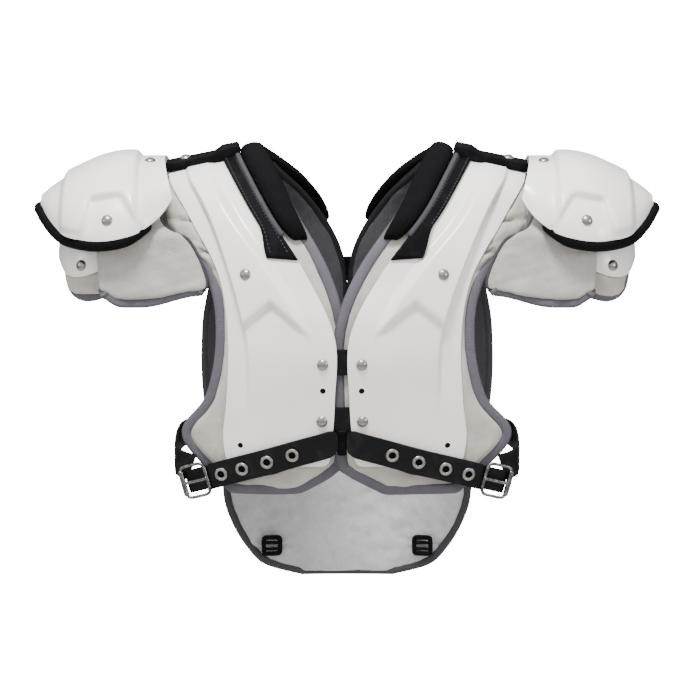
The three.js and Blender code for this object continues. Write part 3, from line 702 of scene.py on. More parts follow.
def pad_depth(side, t, share):
    """How far the pad's outer face lies below the body line"""
    inner, outer = pad_edges(side, t)
    under = 0.0045 * (1 - ease(0.0, 0.030, share * (outer - inner)))
    under = under * (1 - ease(0.33, 0.42, t)) * (side < 0)
    return PAD_TOP + under


def pad_end(u):
    return round_end(u, 0.018)


for side, word in SIDES:

    def pad_point(u, v):
        t = 0.7 * u + 0.3 * (0.5 - 0.5 * np.cos(np.pi * u))
        share, swell = section(v, 0.8, 0.55)
        inner, outer = pad_edges(side, t)
        x = mix(inner, outer, share)
        swell = swell * pad_end(t)
        front = swell > 0
        base = body_surface(side, t, x)
        # sewn channels beside the armhole, where the plate leaves the pad bare
        bare = ease(-0.004, 0.004, x - across("plate_out", t)) * (base[:, 1] < 0)
        bare = bare * ease(0.006, 0.014, outer - x)
        height = base[:, 2]
        seams = crease(height + 0.0335, 0.0013) + crease(height + 0.0425, 0.0013)
        seams = seams + 0.5 * crease(height + 0.060, 0.003) + 0.7 * crease(height + 0.012, 0.002)
        lift = swell * np.where(front, PAD_OUTER, PAD_WALL - PAD_OUTER) - PAD_OUTER
        lift = lift - pad_depth(side, t, share)
        lift = lift - np.where(front, bare * seams * 0.005, 0)
        lift = lift + np.where(front, bare * 0.004 * (1 - seams), 0) * pad_end(t)
        lift = lift + ripple(base, 0.045, 3) * 0.0007 + ripple(base, 0.018, 4) * 0.0003
        return body_point(side, t, x, lift)

    pad = grid(f"pad_{word}", 230, 84, pad_point, (0.30, 0.78), 3e-5)
    settle(pad, [BEIGE_NYLON, LINING], [f"body_pad_{word}"], angle=80)
    uv = pad.data.uv_layers.active.data
    for face in pad.data.polygons:
        around = sum(uv[k].uv.x for k in face.loop_indices) / len(face.loop_indices)
        face.material_index = 1 if around > 0.15 else 0

    # binding all round the front half, and along both edges of the back half
    down = np.linspace(0.47, PAD_HEM, 170)
    hem = np.linspace(0, 1, 40)[1:-1]
    up = np.linspace(PAD_HEM, 0.50, 180)
    t_front = np.concatenate([down, np.full_like(hem, PAD_HEM), up])
    edge_front = np.concatenate([np.zeros_like(down), hem, np.ones_like(up)])
    back = np.linspace(0.50, 0.992, 170)
    back_in = back[back > 0.60]
    for part, t, share, tape in (
        ("front", t_front, edge_front, LILAC_TAPE),
        ("back_inner", back_in, np.zeros_like(back_in), BLACK_TAPE),
        ("back_outer", back, np.ones_like(back), GREY_TAPE),
    ):
        inner, outer = pad_edges(side, t)
        x = mix(inner + 0.0034, outer - 0.0034, share)
        depth = pad_depth(side, t, share) + PAD_OUTER
        path = body_point(side, t, x, -depth)
        normals = body_normal(side, t, x)
        soften(path, 6)
        band(f"binding_{part}_{word}", path, normals, 0.0058, 0.0062, tape)

# Neck cushions
# Black knitted cloth over thick foam, along the neck edge of each half, with a grey piping
# between the cushion and the plate and a flat black trim stitched over the plate's edge.

NECK_FROM, NECK_TO = 0.41, 0.715
TRIM_FROM, TRIM_TO = 0.392, 0.70
TRIM_WIDTH = 0.015
NECK_CROWN = 0.0125
STITCH_PITCH = 0.0042
STITCH_LENGTH = 0.0029
THREAD = 0.00042


def black_knit(place, uv):
    threads = weave(uv, 0.0012)
    lint = place.noise(400.0, 4.0, 0.7).between(0.55, 0.8)
    folds = place.noise(70.0, 3.0, 0.5, 1.0)
    return {
        "Base Color": lint.blend((0.0025, 0.0025, 0.003, 1), (0.006, 0.006, 0.007, 1)),
        "Roughness": 0.72 + 0.12 * lint,
        "Normal": folds.bump(0.0012, 0.4, threads.bump(0.0002, 0.6)),
    }


def black_vinyl(place, uv):
    grain = place.noise(1200.0, 3.0)
    rubbed = place.noise(50.0, 5.0, 0.65).between(0.45, 0.7)
    return {
        "Base Color": rubbed.blend((0.003, 0.003, 0.0035, 1), (0.007, 0.007, 0.008, 1)),
        "Roughness": 0.52 + 0.16 * rubbed,
        "Normal": grain.bump(0.0003, 0.35),
    }


def dark_thread(place, uv):
    twist = place.noise(2500.0, 2.0)
    return {"Base Color": twist.blend((0.028, 0.028, 0.030, 1), (0.055, 0.055, 0.058, 1)),
            "Roughness": 0.6 + 0.1 * twist}


BLACK_KNIT = finish("black_knit", black_knit, Specular__IOR__Level=0.05)
BLACK_VINYL = finish("black_vinyl", black_vinyl, Specular__IOR__Level=0.03)
DARK_THREAD = finish("dark_thread", dark_thread, Specular__IOR__Level=0.2)


def stitches(name, path, normals):
    """A row of sewn threads along a path, as one piece"""
    deselect()
    bpy.ops.mesh.primitive_uv_sphere_add(segments=8, ring_count=5, radius=1)
    one = bpy.context.object
    corners = np.array([v.co[:] for v in one.data.vertices])
    faces = [tuple(face.vertices) for face in one.data.polygons]
    bpy.data.objects.remove(one)
    steps = np.linalg.norm(np.diff(path, axis=0), axis=1)
    run = np.concatenate([[0], np.cumsum(steps)])

    def at(spot, rows):
        return np.array([np.interp(spot, run, rows[:, a]) for a in range(3)])

    points, all_faces = [], []
    for k, spot in enumerate(np.arange(STITCH_PITCH / 2, run[-1], STITCH_PITCH)):
        here = at(spot, path)
        along = unit(at(spot + STITCH_PITCH / 3, path) - at(spot - STITCH_PITCH / 3, path))
        up = unit(at(spot, normals))
        over = unit(np.cross(along, up))
        local = corners * np.array([STITCH_LENGTH / 2, THREAD, THREAD])
        points.append(here + local[:, :1] * along + local[:, 1:2] * over + local[:, 2:] * up)
        all_faces += [tuple(c + k * len(corners) for c in face) for face in faces]
    mesh = bpy.data.meshes.new(name)
    mesh.from_pydata(np.concatenate(points).tolist(), [], all_faces)
    piece = bpy.data.objects.new(name, mesh)
    bpy.context.collection.objects.link(piece)
    choose(piece)
    bpy.ops.object.shade_smooth()
    return piece


def trim_place(t, share):
    """Across the trim, which widens towards its end at the chest"""
    wide = TRIM_WIDTH * (1 + 0.95 * (1 - ease(0.388, 0.43, t)))
    return across("plate_in", t) - 0.0008 + wide * share


for side, word in SIDES:

    def cushion_point(u, v):
        t = mix(NECK_FROM, NECK_TO, u)
        near = across("pad_in", t) - 0.002 - 0.010 * ease(0.58, 0.66, t)
        far = across("plate_in", t) - 0.0042
        share, swell = section(v, 0.75, 0.7)
        ends = round_end(u, 0.10)
        crown = np.where(swell > 0, NECK_CROWN + 0.0005, 0.0045) * swell * ends
        x = mix(near, far, 0.5 + (share - 0.5) * (0.55 + 0.45 * ends))
        base = body_surface(side, t, x)
        soft = ripple(base, 0.03, 11) * 0.0006 + ripple(base, 0.012, 12) * 0.0003
        return body_point(side, t, x, crown - PAD_TOP + PAD_GAP + 0.0005 + soft)

    cushion = grid(f"cushion_{word}", 150, 60, cushion_point, (0.10, 0.30), 3e-5)
    settle(cushion, [BLACK_KNIT], [f"neck_pad_{word}"], angle=80)

    t = np.linspace(0.413, TRIM_TO - 0.01, 140)
    x = across("plate_in", t) - 0.0012
    band(f"piping_{word}", body_point(side, t, x, 0.0034 + plate_relief(t, x)),
         body_normal(side, t, x), 0.0027, 0.0027, GREY_TAPE, sides=14, corner=1.0,
         angle=80)

    def trim_point(u, v):
        share, swell = section(v, 0.35, 0.35)
        t = mix(TRIM_FROM - 0.004 * (1 - share), TRIM_TO, u)
        x = trim_place(t, share)
        lift = plate_relief(t, x) + 0.0021 + 0.0013 * swell * round_end(u, 0.006)
        return body_point(side, t, x, lift)

    trim = grid(f"trim_{word}", 150, 40, trim_point, (0.06, 0.27), 2e-5)
    settle(trim, [BLACK_VINYL], [f"neck_trim_{word}"])
    t = np.linspace(TRIM_FROM + 0.004, TRIM_TO - 0.004, 150)
    for edge, share in (("near", 0.2), ("far", 0.8)):
        x = trim_place(t, share)
        row = body_point(side, t, x, plate_relief(t, x) + 0.0034)
        seam = stitches(f"trim_stitches_{edge}_{word}", row, body_normal(side, t, x))
        settle(seam, [DARK_THREAD], angle=None)

# The bare patch sewn over the front end of the right trim


def patch_point(u, v):
    share, swell = section(v, 0.2, 0.2)
    t = mix(TRIM_FROM, 0.428, u)
    x = trim_place(t, 0.06 + 0.92 * share)
    lift = plate_relief(t, x) + 0.0040 + 0.0006 * swell * round_end(u, 0.02)
    return body_point(1, t, x, lift)


patch = grid("patch", 40, 40, patch_point, (0.05, 0.03), 2e-5)
settle(patch, [BLACK_VINYL], ["neck_patch"])

# Shoulder bars
# A black moulded strap across the top of each arch, from the trim to under the cap, with
# rounded edges and a rivet at its outer end.

BAR_HALF_WIDTH = 0.020
BAR_WALL = 0.010
BAR_SINK = 0.003    # how far the bar reaches down to the plate
CAP_INSET = 0.006
CAP_START = REACH - CAP_INSET
BAR_RIVET_OUT = 0.917 * REACH
BAR_RIVET_FORWARD = 0.0125

for side, word in SIDES:

    def bar_point(u, v):
        x = mix(NECK_HALF - 0.004, CAP_START + 0.012, u)
        turn = 2 * np.pi * v
        y = -power(np.cos(turn), 0.32) * BAR_HALF_WIDTH
        high = 0.5 + 0.5 * power(np.sin(turn), 0.32) * round_end(u, 0.05)
        top = body_surface(1, np.full_like(x, TOP), x)
        bend = -0.0025 * (y / BAR_HALF_WIDTH) ** 2
        over_trim = 0.0042 * (1 - ease(0.013, 0.024, x - NECK_HALF))
        low = top[:, 2] + LAYER_GAP - BAR_SINK
        return xyz(side * x, y, low + high * (BAR_WALL + BAR_SINK + bend + over_trim))

    bar = grid(f"bar_{word}", 40, 48, bar_point, (0.1, 0.09), 2e-5)
    settle(bar, [BLACK_VINYL], [f"shoulder_bar_{word}"])
    top = body_surface(side, TOP, BAR_RIVET_OUT)
    top = top + np.array((0, -BAR_RIVET_FORWARD, 2 * LAYER_GAP + BAR_WALL - 0.0018))
    rivet(f"bar_{word}", (top, (side * SHOULDER_SLOPE, -0.42, 1)))

# Shoulder caps
# Large white moulded shells over the points of the shoulders, each with a raised crown and
# a recessed scoop at the front and back rim, over a padded layer in black cloth whose roll
# shows all round under the rim.

CAP_SPAN = 0.144
CAP_WALL = 0.0032
CAP_PAD_WALL = 0.0085
CAP = {
    "out": [0, 0.08, 0.22, 0.36, 0.51, 0.65, 0.78, 0.89, 0.96, 1],
    "top": [1.01, 1.01, 1.01, 1.02, 0.97, 0.87, 0.76, 0.64, 0.54, 0.50],
    "rim": [0.52, 0.315, 0.13, 0.05, 0.015, 0.03, 0.09, 0.25, 0.40, 0.43],
    "deep": [0.74, 0.84, 0.975, 1, 0.98, 0.88, 0.70, 0.46, 0.22, 0.08],
}
CAP_SIZES = {"start": CAP_START, "span": CAP_SPAN, "rim": -0.034, "rise": 0.084,
             "depth": 0.118, "heart": (CAP_START + 0.39 * CAP_SPAN, -0.034), "skew": 0.011}
CAP_SHELL_END = 0.9
CAP_ROLL_FROM = 0.17
ROLL_STEPS, TIP_STEPS = 90, 30
# share outwards, angle from the top in degrees
CAP_RIVETS = {"cap_top": (0.165, 21), "cap_front": (0.4, 75)}


def dome(table, sizes, side, u, angle):
    out = smooth(table["out"], u) * sizes["span"] + sizes["start"]
    out = out + sizes.get("skew", 0) * np.cos(angle) * (1 - ease(0, 0.3, u))
    top = smooth(table["top"], u) * sizes["rise"] + sizes["rim"]
    rim = smooth(table["rim"], u) * sizes["rise"] + sizes["rim"]
    deep = smooth(table["deep"], u) * sizes["depth"]
    height = rim + (top - rim) * np.cos(angle)
    return xyz(side * out, -deep * np.sin(angle), height)


def dome_layer(table, sizes, side, u, angle, inwards):
    point = dome(table, sizes, side, u, angle)
    heart = np.array((side * sizes["heart"][0], 0, sizes["heart"][1]))
    return point + unit(heart - point) * np.asarray(inwards)[..., None]


def dome_normal(table, sizes, side, u, angle):
    along = dome(table, sizes, side, u + 0.02, angle) - dome(table, sizes, side, u - 0.02, angle)
    around = dome(table, sizes, side, u, angle + 0.02) - dome(table, sizes, side, u, angle - 0.02)
    normal = unit(np.cross(along, around))
    heart = np.array((side * sizes["heart"][0], 0, sizes["heart"][1]))
    outward = dome(table, sizes, side, u, angle) - heart
    return normal * np.sign((normal * outward).sum(-1, keepdims=True))


def cap_relief(u, angle):
    """How far the cap's face lies under the plain dome: crown high, scoops low"""
    out = smooth(CAP["out"], u) * CAP_SPAN + CAP_START
    crown = ease(0.2060, 0.2160, out) * (1 - ease(0.2815, 0.2925, out))
    down = (np.abs(angle) - math.radians(57)) / math.radians(33)
    half = mix(0.0155, 0.0345, np.clip(down, 0, 1))
    centre = mix(0.2410, 0.2345, np.clip(down, 0, 1))
    scoop = ease(-0.08, 0.10, down) * (1 - ease(half - 0.004, half + 0.003, np.abs(out - centre)))
    shoulder = 1 - ease(math.radians(80), math.radians(88), np.abs(angle))
    return 0.0012 - 0.0052 * crown * (1 - scoop) * mix(0.6, 1, shoulder) + 0.0016 * scoop


def dome_pad(name, table, sizes, side, u_from, u_to, tuck, outside, thick, corner=0.6,
             softness=0.0006):
    """A padded layer under a dome, closed round its edges"""
    turn_limit = math.pi / 2 + tuck

    def where(u, v):
        angle = mix(-turn_limit, turn_limit, u - 0.02 * np.sin(2 * np.pi * u))
        share, swell = section(v, 0.8, corner)
        swell = swell * round_end(u, 0.035)
        inwards = outside + thick / 2 - swell * thick / 2
        place = mix(u_from, u_to, share)
        points = dome_layer(table, sizes, side, place, angle, inwards)
        inwards = inwards + softness * (ripple(points, 0.035, 21) + 0.5 * ripple(points, 0.014, 22))
        return dome_layer(table, sizes, side, place, angle, inwards)

    return grid(name, 130, 56, where, (0.20, 0.35), 3e-5)


for side, word in SIDES:

    def cap_point(u, v):
        angle = mix(-math.pi / 2, math.pi / 2, v - 0.03 * np.sin(2 * np.pi * v))
        place = CAP_SHELL_END * (u - 0.03 * np.sin(2 * np.pi * u))
        return dome_layer(CAP, CAP_SIZES, side, place, angle, cap_relief(place, angle))

    cap = grid(f"cap_{word}", 120, 190, cap_point, (0.16, 0.35))
    shell(cap, (side * 0.2286, 0, -0.034), CAP_WALL, 0.0009)
    settle(cap, [WHITE_PLASTIC], [f"shoulder_cap_{word}"], angle=50)
    for label, (u, degrees) in CAP_RIVETS.items():
        angle = math.radians(degrees)
        spot = dome_layer(CAP, CAP_SIZES, side, u, angle, cap_relief(u, angle) - 0.0002)
        rivet(f"{label}_{word}", (spot, dome_normal(CAP, CAP_SIZES, side, u, angle)))

    cap_pad = dome_pad(f"cap_roll_{word}", CAP, CAP_SIZES, side, 0.24, 0.97, 0.05,
                       CAP_WALL + 0.0026, CAP_PAD_WALL)
    settle(cap_pad, [BLACK_KNIT], [f"cap_pad_{word}"], angle=80)

    # the padded roll that shows under the rim and round the tip
    along = np.linspace(CAP_ROLL_FROM, 0.88, ROLL_STEPS)
    place = np.concatenate([along, np.full(TIP_STEPS, CAP_SHELL_END), along[::-1]])
    angle = np.radians(np.concatenate([
        np.full(ROLL_STEPS, 90), np.linspace(88, -88, TIP_STEPS), np.full(ROLL_STEPS, -90)]))
    rim = dome(CAP, CAP_SIZES, side, place, np.sign(angle) * math.pi / 2)
    tip = dome(CAP, CAP_SIZES, side, place, angle)
    path = np.where((place == CAP_SHELL_END)[:, None], xyz(tip[:, 0], tip[:, 1], rim[:, 2]), rim)
    rise = 0.006 * (1 - ease(CAP_ROLL_FROM, 0.32, place)) - 0.0042
    path = path + xyz(side * 0.0005, np.sin(angle) * 0.0088, rise)
    soften(path, 12)
    band(f"cap_edge_{word}", path, (0, 0, 1), 0.0060, 0.0062, BLACK_KNIT,
         sides=20, corner=0.9, angle=80)

# Arm cups
# Small white moulded cups under the caps, each riveted over a padded arm pad in beige nylon
# that is bound in grey along its hems.

CUP_WALL = 0.003
ARM_PAD_WALL = 0.014
CUP = {
    "out": [0, 0.32, 0.64, 0.86, 0.98, 1],
    "top": [0.91, 0.948, 0.78, 0.60, 0.42, 0.36],
    "rim": [0.22, 0.10, 0.01, 0.03, 0.16, 0.22],
    "deep": [0.94, 0.98, 0.90, 0.72, 0.42, 0.32],
}
CUP_SIZES = {"start": 0.220, "span": 0.074, "rim": -0.071, "rise": 0.094,
             "depth": 0.084, "heart": (0.2363, -0.0663)}
ARM_PAD_TUCK = 0.38

for side, word in SIDES:

    def cup_point(u, v):
        angle = mix(-math.pi / 2, math.pi / 2, v)
        return dome_layer(CUP, CUP_SIZES, side, u, angle, np.zeros_like(u) + 0.0002)

    cup = grid(f"cup_{word}", 60, 120, cup_point, (0.08, 0.25))
    shell(cup, (side * 0.236, 0, -0.066), CUP_WALL, 0.0009)
    settle(cup, [WHITE_PLASTIC], [f"arm_cup_{word}"], angle=50)
    u, angle = 0.4, math.radians(81)
    spot = dome_layer(CUP, CUP_SIZES, side, u, angle, -0.0001)
    rivet(f"arm_cup_{word}", (spot, dome_normal(CUP, CUP_SIZES, side, u, angle)))

    arm_pad = dome_pad(f"arm_pad_soft_{word}", CUP, CUP_SIZES, side, 0.0, 1.0, ARM_PAD_TUCK,
                       CUP_WALL + LAYER_GAP, ARM_PAD_WALL, corner=0.7, softness=0.0022)
    settle(arm_pad, [BEIGE_NYLON], [f"arm_pad_{word}"], angle=80)
    for end, sign in (("front", 1), ("back", -1)):
        u = np.linspace(0.02, 0.97, 60)
        angle = np.full_like(u, sign * (math.pi / 2 + ARM_PAD_TUCK - 0.03))
        path = dome_layer(CUP, CUP_SIZES, side, u, angle, np.full_like(u, 0.0105))
        band(f"arm_binding_{end}_{word}", path, (0, -sign, 0.15), 0.0048, 0.0068,
             LILAC_TAPE, sides=20, corner=0.7)

# Shoulder flaps
# Padded light grey nylon that hangs in front of and behind the arm in one piece over the
# shoulder, with a sewn channel above its hem and a grey binding along it.

FLAP_WALL = 0.012
FLAP_TILT = 0.14
FLAP_HEM = 0.001
FLAP = {
    "forward": [0.80, 0.845, 0.835, 0.83, 0.825, 0.725, 0.47, 0.24, 0],
    "high": [-0.70, -0.60, -0.42, -0.10, 0.10, 0.35, 0.605, 0.74, 0.78],
    "near": [-0.19, -0.225, -0.232, -0.155, -0.06, 0.06, 0.15, 0.17, 0.17],
    "far": [0.485, 0.505, 0.52, 0.53, 0.53, 0.53, 0.53, 0.53, 0.53],
    "tuck": [0, 0, 0, 0, 0, 1, 1, 1, 1],
}


def grey_nylon(place, uv):
    threads = weave(uv, 0.0009)
    soil = place.noise(28.0, 5.0, 0.6)
    folds = place.noise(75.0, 3.0, 0.5, 0.9)
    return {
        "Base Color": soil.between(0.3, 0.7).blend(
            (0.285, 0.262, 0.24, 1), (0.335, 0.31, 0.285, 1)),
        "Roughness": 0.6 + 0.16 * soil,
        "Normal": folds.bump(0.0018, 0.5, threads.bump(0.00012, 0.5)),
    }


GREY_NYLON = finish("grey_nylon", grey_nylon, Sheen__Weight=0.12)


def flap_place(side, u, v):
    front = u <= 0.5
    t = np.where(front, 2 * u, 2 - 2 * u)
    out = CAP_START + CAP_SPAN * mix(smooth(FLAP["near"], t), smooth(FLAP["far"], t), v)
    farthest = CAP_START + CAP_SPAN * FLAP["far"][-1]
    tuck = smooth(FLAP["tuck"], t) * FLAP_TILT * (farthest - out)
    face = np.where(front, -1.0, 1.0)
    forward = face * smooth(FLAP["forward"], t) * CAP_SIZES["depth"]
    high = smooth(FLAP["high"], t) * CAP_SIZES["rise"] + CAP_SIZES["rim"] - tuck
    sag = 0.006 - 0.0115 * ease(0, 0.62, v) + 0.009 * ease(0.82, 1, v)
    high = high + sag * (1 - ease(0, 0.26, t))
    return xyz(side * out, forward, high)


def flap_point(side, u, v, inwards):
    ahead = flap_place(side, np.minimum(u + 0.004, 1), v)
    along = ahead - flap_place(side, np.maximum(u - 0.004, 0), v)
    inward = unit(xyz(0.0, along[:, 2], -along[:, 1]))
    return flap_place(side, u, v) + inward * np.asarray(inwards)[..., None]


for side, word in SIDES:

    def flap_shape(u, v):
        u = u - 0.02 * np.sin(4 * np.pi * u)
        share, swell = section(v, 0.75, 0.62)
        low = np.minimum(u, 1 - u)
        ends = round_end(u, 0.022)
        base = flap_place(side, u, share)
        channel = crease(low - 0.036, 0.0055)
        hem = 1 - 0.55 * (1 - ease(0.0, 0.055, low))
        inwards = FLAP_WALL / 2 - swell * ends * FLAP_WALL / 2 * hem * (1 - 0.45 * channel)
        soft = ripple(base, 0.03, 31) + 0.5 * ripple(base, 0.012, 32)
        return flap_point(side, u, share, inwards + soft * 0.0008)

    flap = grid(f"flap_{word}", 220, 60, flap_shape, (0.16, 0.45), 3e-5)
    settle(flap, [GREY_NYLON], [f"shoulder_flap_{word}"], angle=80)
    down, hem = np.linspace(0.040, FLAP_HEM, 20), np.linspace(0.01, 0.99, 80)
    low = np.concatenate([down, np.full_like(hem, FLAP_HEM), down[::-1]])
    share = np.concatenate([np.full_like(down, 0.01), hem, np.full_like(down, 0.99)])
    edge = np.linspace(0.05, 0.34, 60)
    for end, facing in (("front", -1), ("back", 1)):
        u = low if end == "front" else 1 - low
        path = flap_point(side, u, share, np.full_like(u, FLAP_WALL / 2 - 0.001))
        soften(path, 10)
        band(f"flap_binding_{end}_{word}", path, (0, facing, 0), 0.0050, 0.0062,
             LILAC_TAPE, sides=18, corner=0.6)
        u = edge if end == "front" else 1 - edge
        path = flap_point(side, u, np.zeros_like(u), np.full_like(u, FLAP_WALL / 2))
        band(f"flap_edge_{end}_{word}", path, (0, facing, 0), 0.0017, 0.0036,
             GREY_TAPE, sides=14, corner=0.8)

# Chest belts
# Flat black coated webbing with four nickel eyelets, from a rounded end at the middle to a
# roller buckle at the side, where a side strap runs on round the chest to the back.

BELT_NEAR = 0.05 * REACH
BELT_FAR = 0.767 * REACH
BELT_NEAR_HEIGHT = height_at(0.086)
BELT_FAR_HEIGHT = height_at(-0.04)
STRAP_WIDTH = 0.027
STRAP_WALL = 0.003
BELT_LIFT = 0.0021 + LAYER_GAP
GROMMET_PLACES = [0.30, 0.44, 0.578, 0.694]
BUCKLE_OUT = 0.833 * REACH
EYELET_RADIUS = 0.0037


def coated_webbing(place, uv):
    ribs = weave(uv, 0.0014)
    rubbed = place.noise(70.0, 6.0, 0.68).between(0.48, 0.72)
    waves = place.noise(45.0, 2.0)
    return {
        "Base Color": rubbed.blend((0.003, 0.003, 0.0035, 1), (0.008, 0.008, 0.009, 1)),
        "Roughness": 0.34 + 0.2 * rubbed,
        "Normal": waves.bump(0.0016, 0.35, ribs.bump(0.00010, 0.35)),
    }


WEBBING = finish("coated_webbing", coated_webbing, Specular__IOR__Level=0.12)


def belt_height(x):
    return mix(BELT_NEAR_HEIGHT, BELT_FAR_HEIGHT, (x - BELT_NEAR) / (BELT_FAR - BELT_NEAR))


def belt_spot(side, x, z, raised):
    t = share_at_height(x, z)
    return body_point(side, t, x, np.broadcast_to(BELT_LIFT + raised, np.shape(t))), \
        body_normal(side, t, x)


GROMMET = [(0.0036, 0.0009), (0.0039, 0.0014), (0.0046, 0.0017), (0.0055, 0.0017),
           (0.0063, 0.0013), (0.0068, 0.0006), (0.0068, 0.0001), (0.0064, 0), (0.0036, 0),
           (0.0036, 0.0009)]

for side, word in SIDES:

    def belt_point(u, v):
        x = mix(BELT_NEAR, BELT_FAR, u)
        near = np.clip((x - BELT_NEAR) / 0.010, 0, 1)
        half = STRAP_WIDTH / 2 * (0.45 + 0.55 * np.sqrt(1 - (1 - near) ** 2))
        z = belt_height(x) + mix(-half, half, v)
        bow = 0.0006 * np.sin(14 * u)
        return belt_spot(side, x, z, STRAP_WALL + bow)[0]

    belt = grid(f"belt_strap_{word}", 120, 24, belt_point, (STRAP_WIDTH, 0.15))
    swap_uv(belt)
    shell(belt, (side * 0.09, 0, -0.2), STRAP_WALL, 0.0007)
    eyes = [belt_spot(side, share * REACH, belt_height(share * REACH), STRAP_WALL)
            for share in GROMMET_PLACES]
    bore(belt, eyes, EYELET_RADIUS)
    settle(belt, [WEBBING], [f"belt_{word}"], angle=50)
    for k, (place, normal) in enumerate(eyes):
        # a near-black disc inside the eyelet's open hole, as painted shade for its depth
        shade_disc(f"eyelet_hole_shade_{word}_{k + 1}", place - normal * 0.0022, normal,
               EYELET_RADIUS - 0.0001)
        eyelet = turned(f"eyelet_{word}_{k + 1}", GROMMET, place + normal * 0.0001, normal)
        settle(eyelet, [STEEL], [f"grommet_{word}_{k + 1}"])

# Buckles
# Nickel wire frames with a roller on the outer bar and a prong across to it, over the outer
# ends of the chest belts.

BUCKLE_WIRE = 0.0036
BUCKLE_HALF_LENGTH = 0.015
BUCKLE_HALF_HEIGHT = 0.018


def dark_nickel(place, uv):
    """Bright only where it is rubbed, for the thin wire of the buckles"""
    rubbed = place.noise(300.0, 4.0, 0.6).between(0.45, 0.65)
    return {
        "Base Color": rubbed.blend((0.10, 0.095, 0.09, 1), (0.20, 0.19, 0.175, 1)),
        "Roughness": 0.24 + 0.16 * rubbed,
    }


WIRE = finish("dark_nickel_wire", dark_nickel, Metallic=1.0)

for side, word in SIDES:
    centre, facing = belt_spot(side, BUCKLE_OUT, belt_height(BUCKLE_OUT), STRAP_WALL + 0.0009)
    ends = (BUCKLE_OUT + BUCKLE_HALF_LENGTH / 2, BUCKLE_OUT - BUCKLE_HALF_LENGTH / 2)
    far, near = (belt_spot(side, x, belt_height(x), STRAP_WALL)[0] for x in ends)
    outwards = unit(far - near)
    upwards = unit(np.cross(facing, outwards))
    facing = unit(np.cross(outwards, upwards))

    def on_buckle(along, up, out):
        return centre + np.multiply.outer(along, outwards) + np.multiply.outer(up, upwards) \
            + np.multiply.outer(out, facing)

    w = BUCKLE_HALF_LENGTH - BUCKLE_WIRE / 2
    h = BUCKLE_HALF_HEIGHT - BUCKLE_WIRE / 2
    angle = np.linspace(0, 2 * np.pi, 97)
    loop = on_buckle(power(np.cos(angle), 0.35) * w, power(np.sin(angle), 0.35) * h,
                     np.full_like(angle, BUCKLE_WIRE / 2))
    band(f"buckle_frame_{word}", loop, facing, BUCKLE_WIRE / 2 * 0.95, BUCKLE_WIRE / 2 * 0.95,
         WIRE, [f"buckle_{word}"], sides=16, corner=1.0, ring=True, angle=80)
    up = np.linspace(-h + 0.0025, h - 0.0025, 40)
    band(f"buckle_roller_{word}",
         on_buckle(np.full_like(up, w), up, np.full_like(up, BUCKLE_WIRE / 2)), facing, 0.0028,
         0.0028, WIRE, sides=24, corner=1.0)
    along = np.linspace(-w - 0.0015, w + 0.0012, 40)
    arch = BUCKLE_WIRE / 2 + 0.0022 + 0.0014 * np.sin(np.pi * (along + w) / (2 * w))
    band(f"buckle_prong_{word}", on_buckle(along, np.zeros_like(along), arch), facing, 0.0015,
         0.0011, WIRE, sides=16, corner=0.8, angle=80)

# Side straps
# Flat black coated webbing, from under each buckle round the side of the chest to the back,
# with the end of the belt folded under the buckle.

SIDE_STRAP = {
    "out": [0.865, 0.915, 0.95, 0.96, 0.96, 0.945, 0.90, 0.80, 0.73],
    "forward": [-0.64, -0.635, -0.56, -0.30, 0.10, 0.44, 0.635, 0.705, 0.753],
    "high": [0, 0.05, 0.13, 0.22, 0.30, 0.34, 0.36, 0.36, 0.36],
}
for side, word in SIDES:
    v = np.linspace(0, 1, 160)
    path = xyz(side * smooth(SIDE_STRAP["out"], v) * REACH,
               smooth(SIDE_STRAP["forward"], v) * HALF_DEPTH,
               height_at(-0.013) + smooth(SIDE_STRAP["high"], v) * STRAP_WIDTH * 2)
    along = unit(np.gradient(path, axis=0))
    outward = unit(xyz(along[:, 1] * side, -along[:, 0] * side, 0.0))
    x = np.linspace(0.135, 0.160, 40)
    fold = belt_spot(side, x, belt_height(x), 0.0012)
    band(f"strap_fold_{word}", fold[0], fold[1], 0.0118, 0.0013, WEBBING,
         sides=28, corner=0.3)
    band(f"side_strap_soft_{word}", path + outward * STRAP_WALL / 2, outward, STRAP_WIDTH / 2,
         STRAP_WALL / 2, WEBBING, [f"side_strap_{word}"], sides=28, corner=0.3)

# Middle webs and hook
# Elastic black webbing across the gaps between the plates at the chest and the back, and a
# black moulded hook under the lower one.

WEB_SHIFT, HOOK_SHIFT = 0.0045, 0.005    # to the left, with the lap of the right half
WEB_HALF_WIDTH, WEB_HALF_WALL = 0.013, 0.0013
HOOK_HALF_WIDTH, HOOK_HALF_WALL = 0.0048, 0.00225
WEB_PLACES = (("chest_web_upper", 0.344, True), ("chest_web_lower", 0.155, True),
              ("back_web_upper", 0.6, False), ("back_web_lower", 0.142, False))

for name, rise, front in WEB_PLACES:
    middle = height_at(rise)
    edges = middle + np.array((-WEB_HALF_WIDTH, WEB_HALF_WIDTH))
    limits = share_at_height(np.zeros(2), edges, front)
    half = float(across("plate_in", limits).min()) - 0.0006
    x = np.linspace(-half, half, 40)
    t = share_at_height(np.abs(x), np.full_like(x, middle), front)
    path = body_point(-1, t, -x, np.full_like(x, LAYER_GAP - PAD_TOP + WEB_HALF_WALL))
    path[:, 0] = path[:, 0] - WEB_SHIFT * front
    band(f"{name}_strap", path, body_normal(-1, t, -x), WEB_HALF_WIDTH, WEB_HALF_WALL,
         WEBBING, [name], sides=30, corner=0.25)

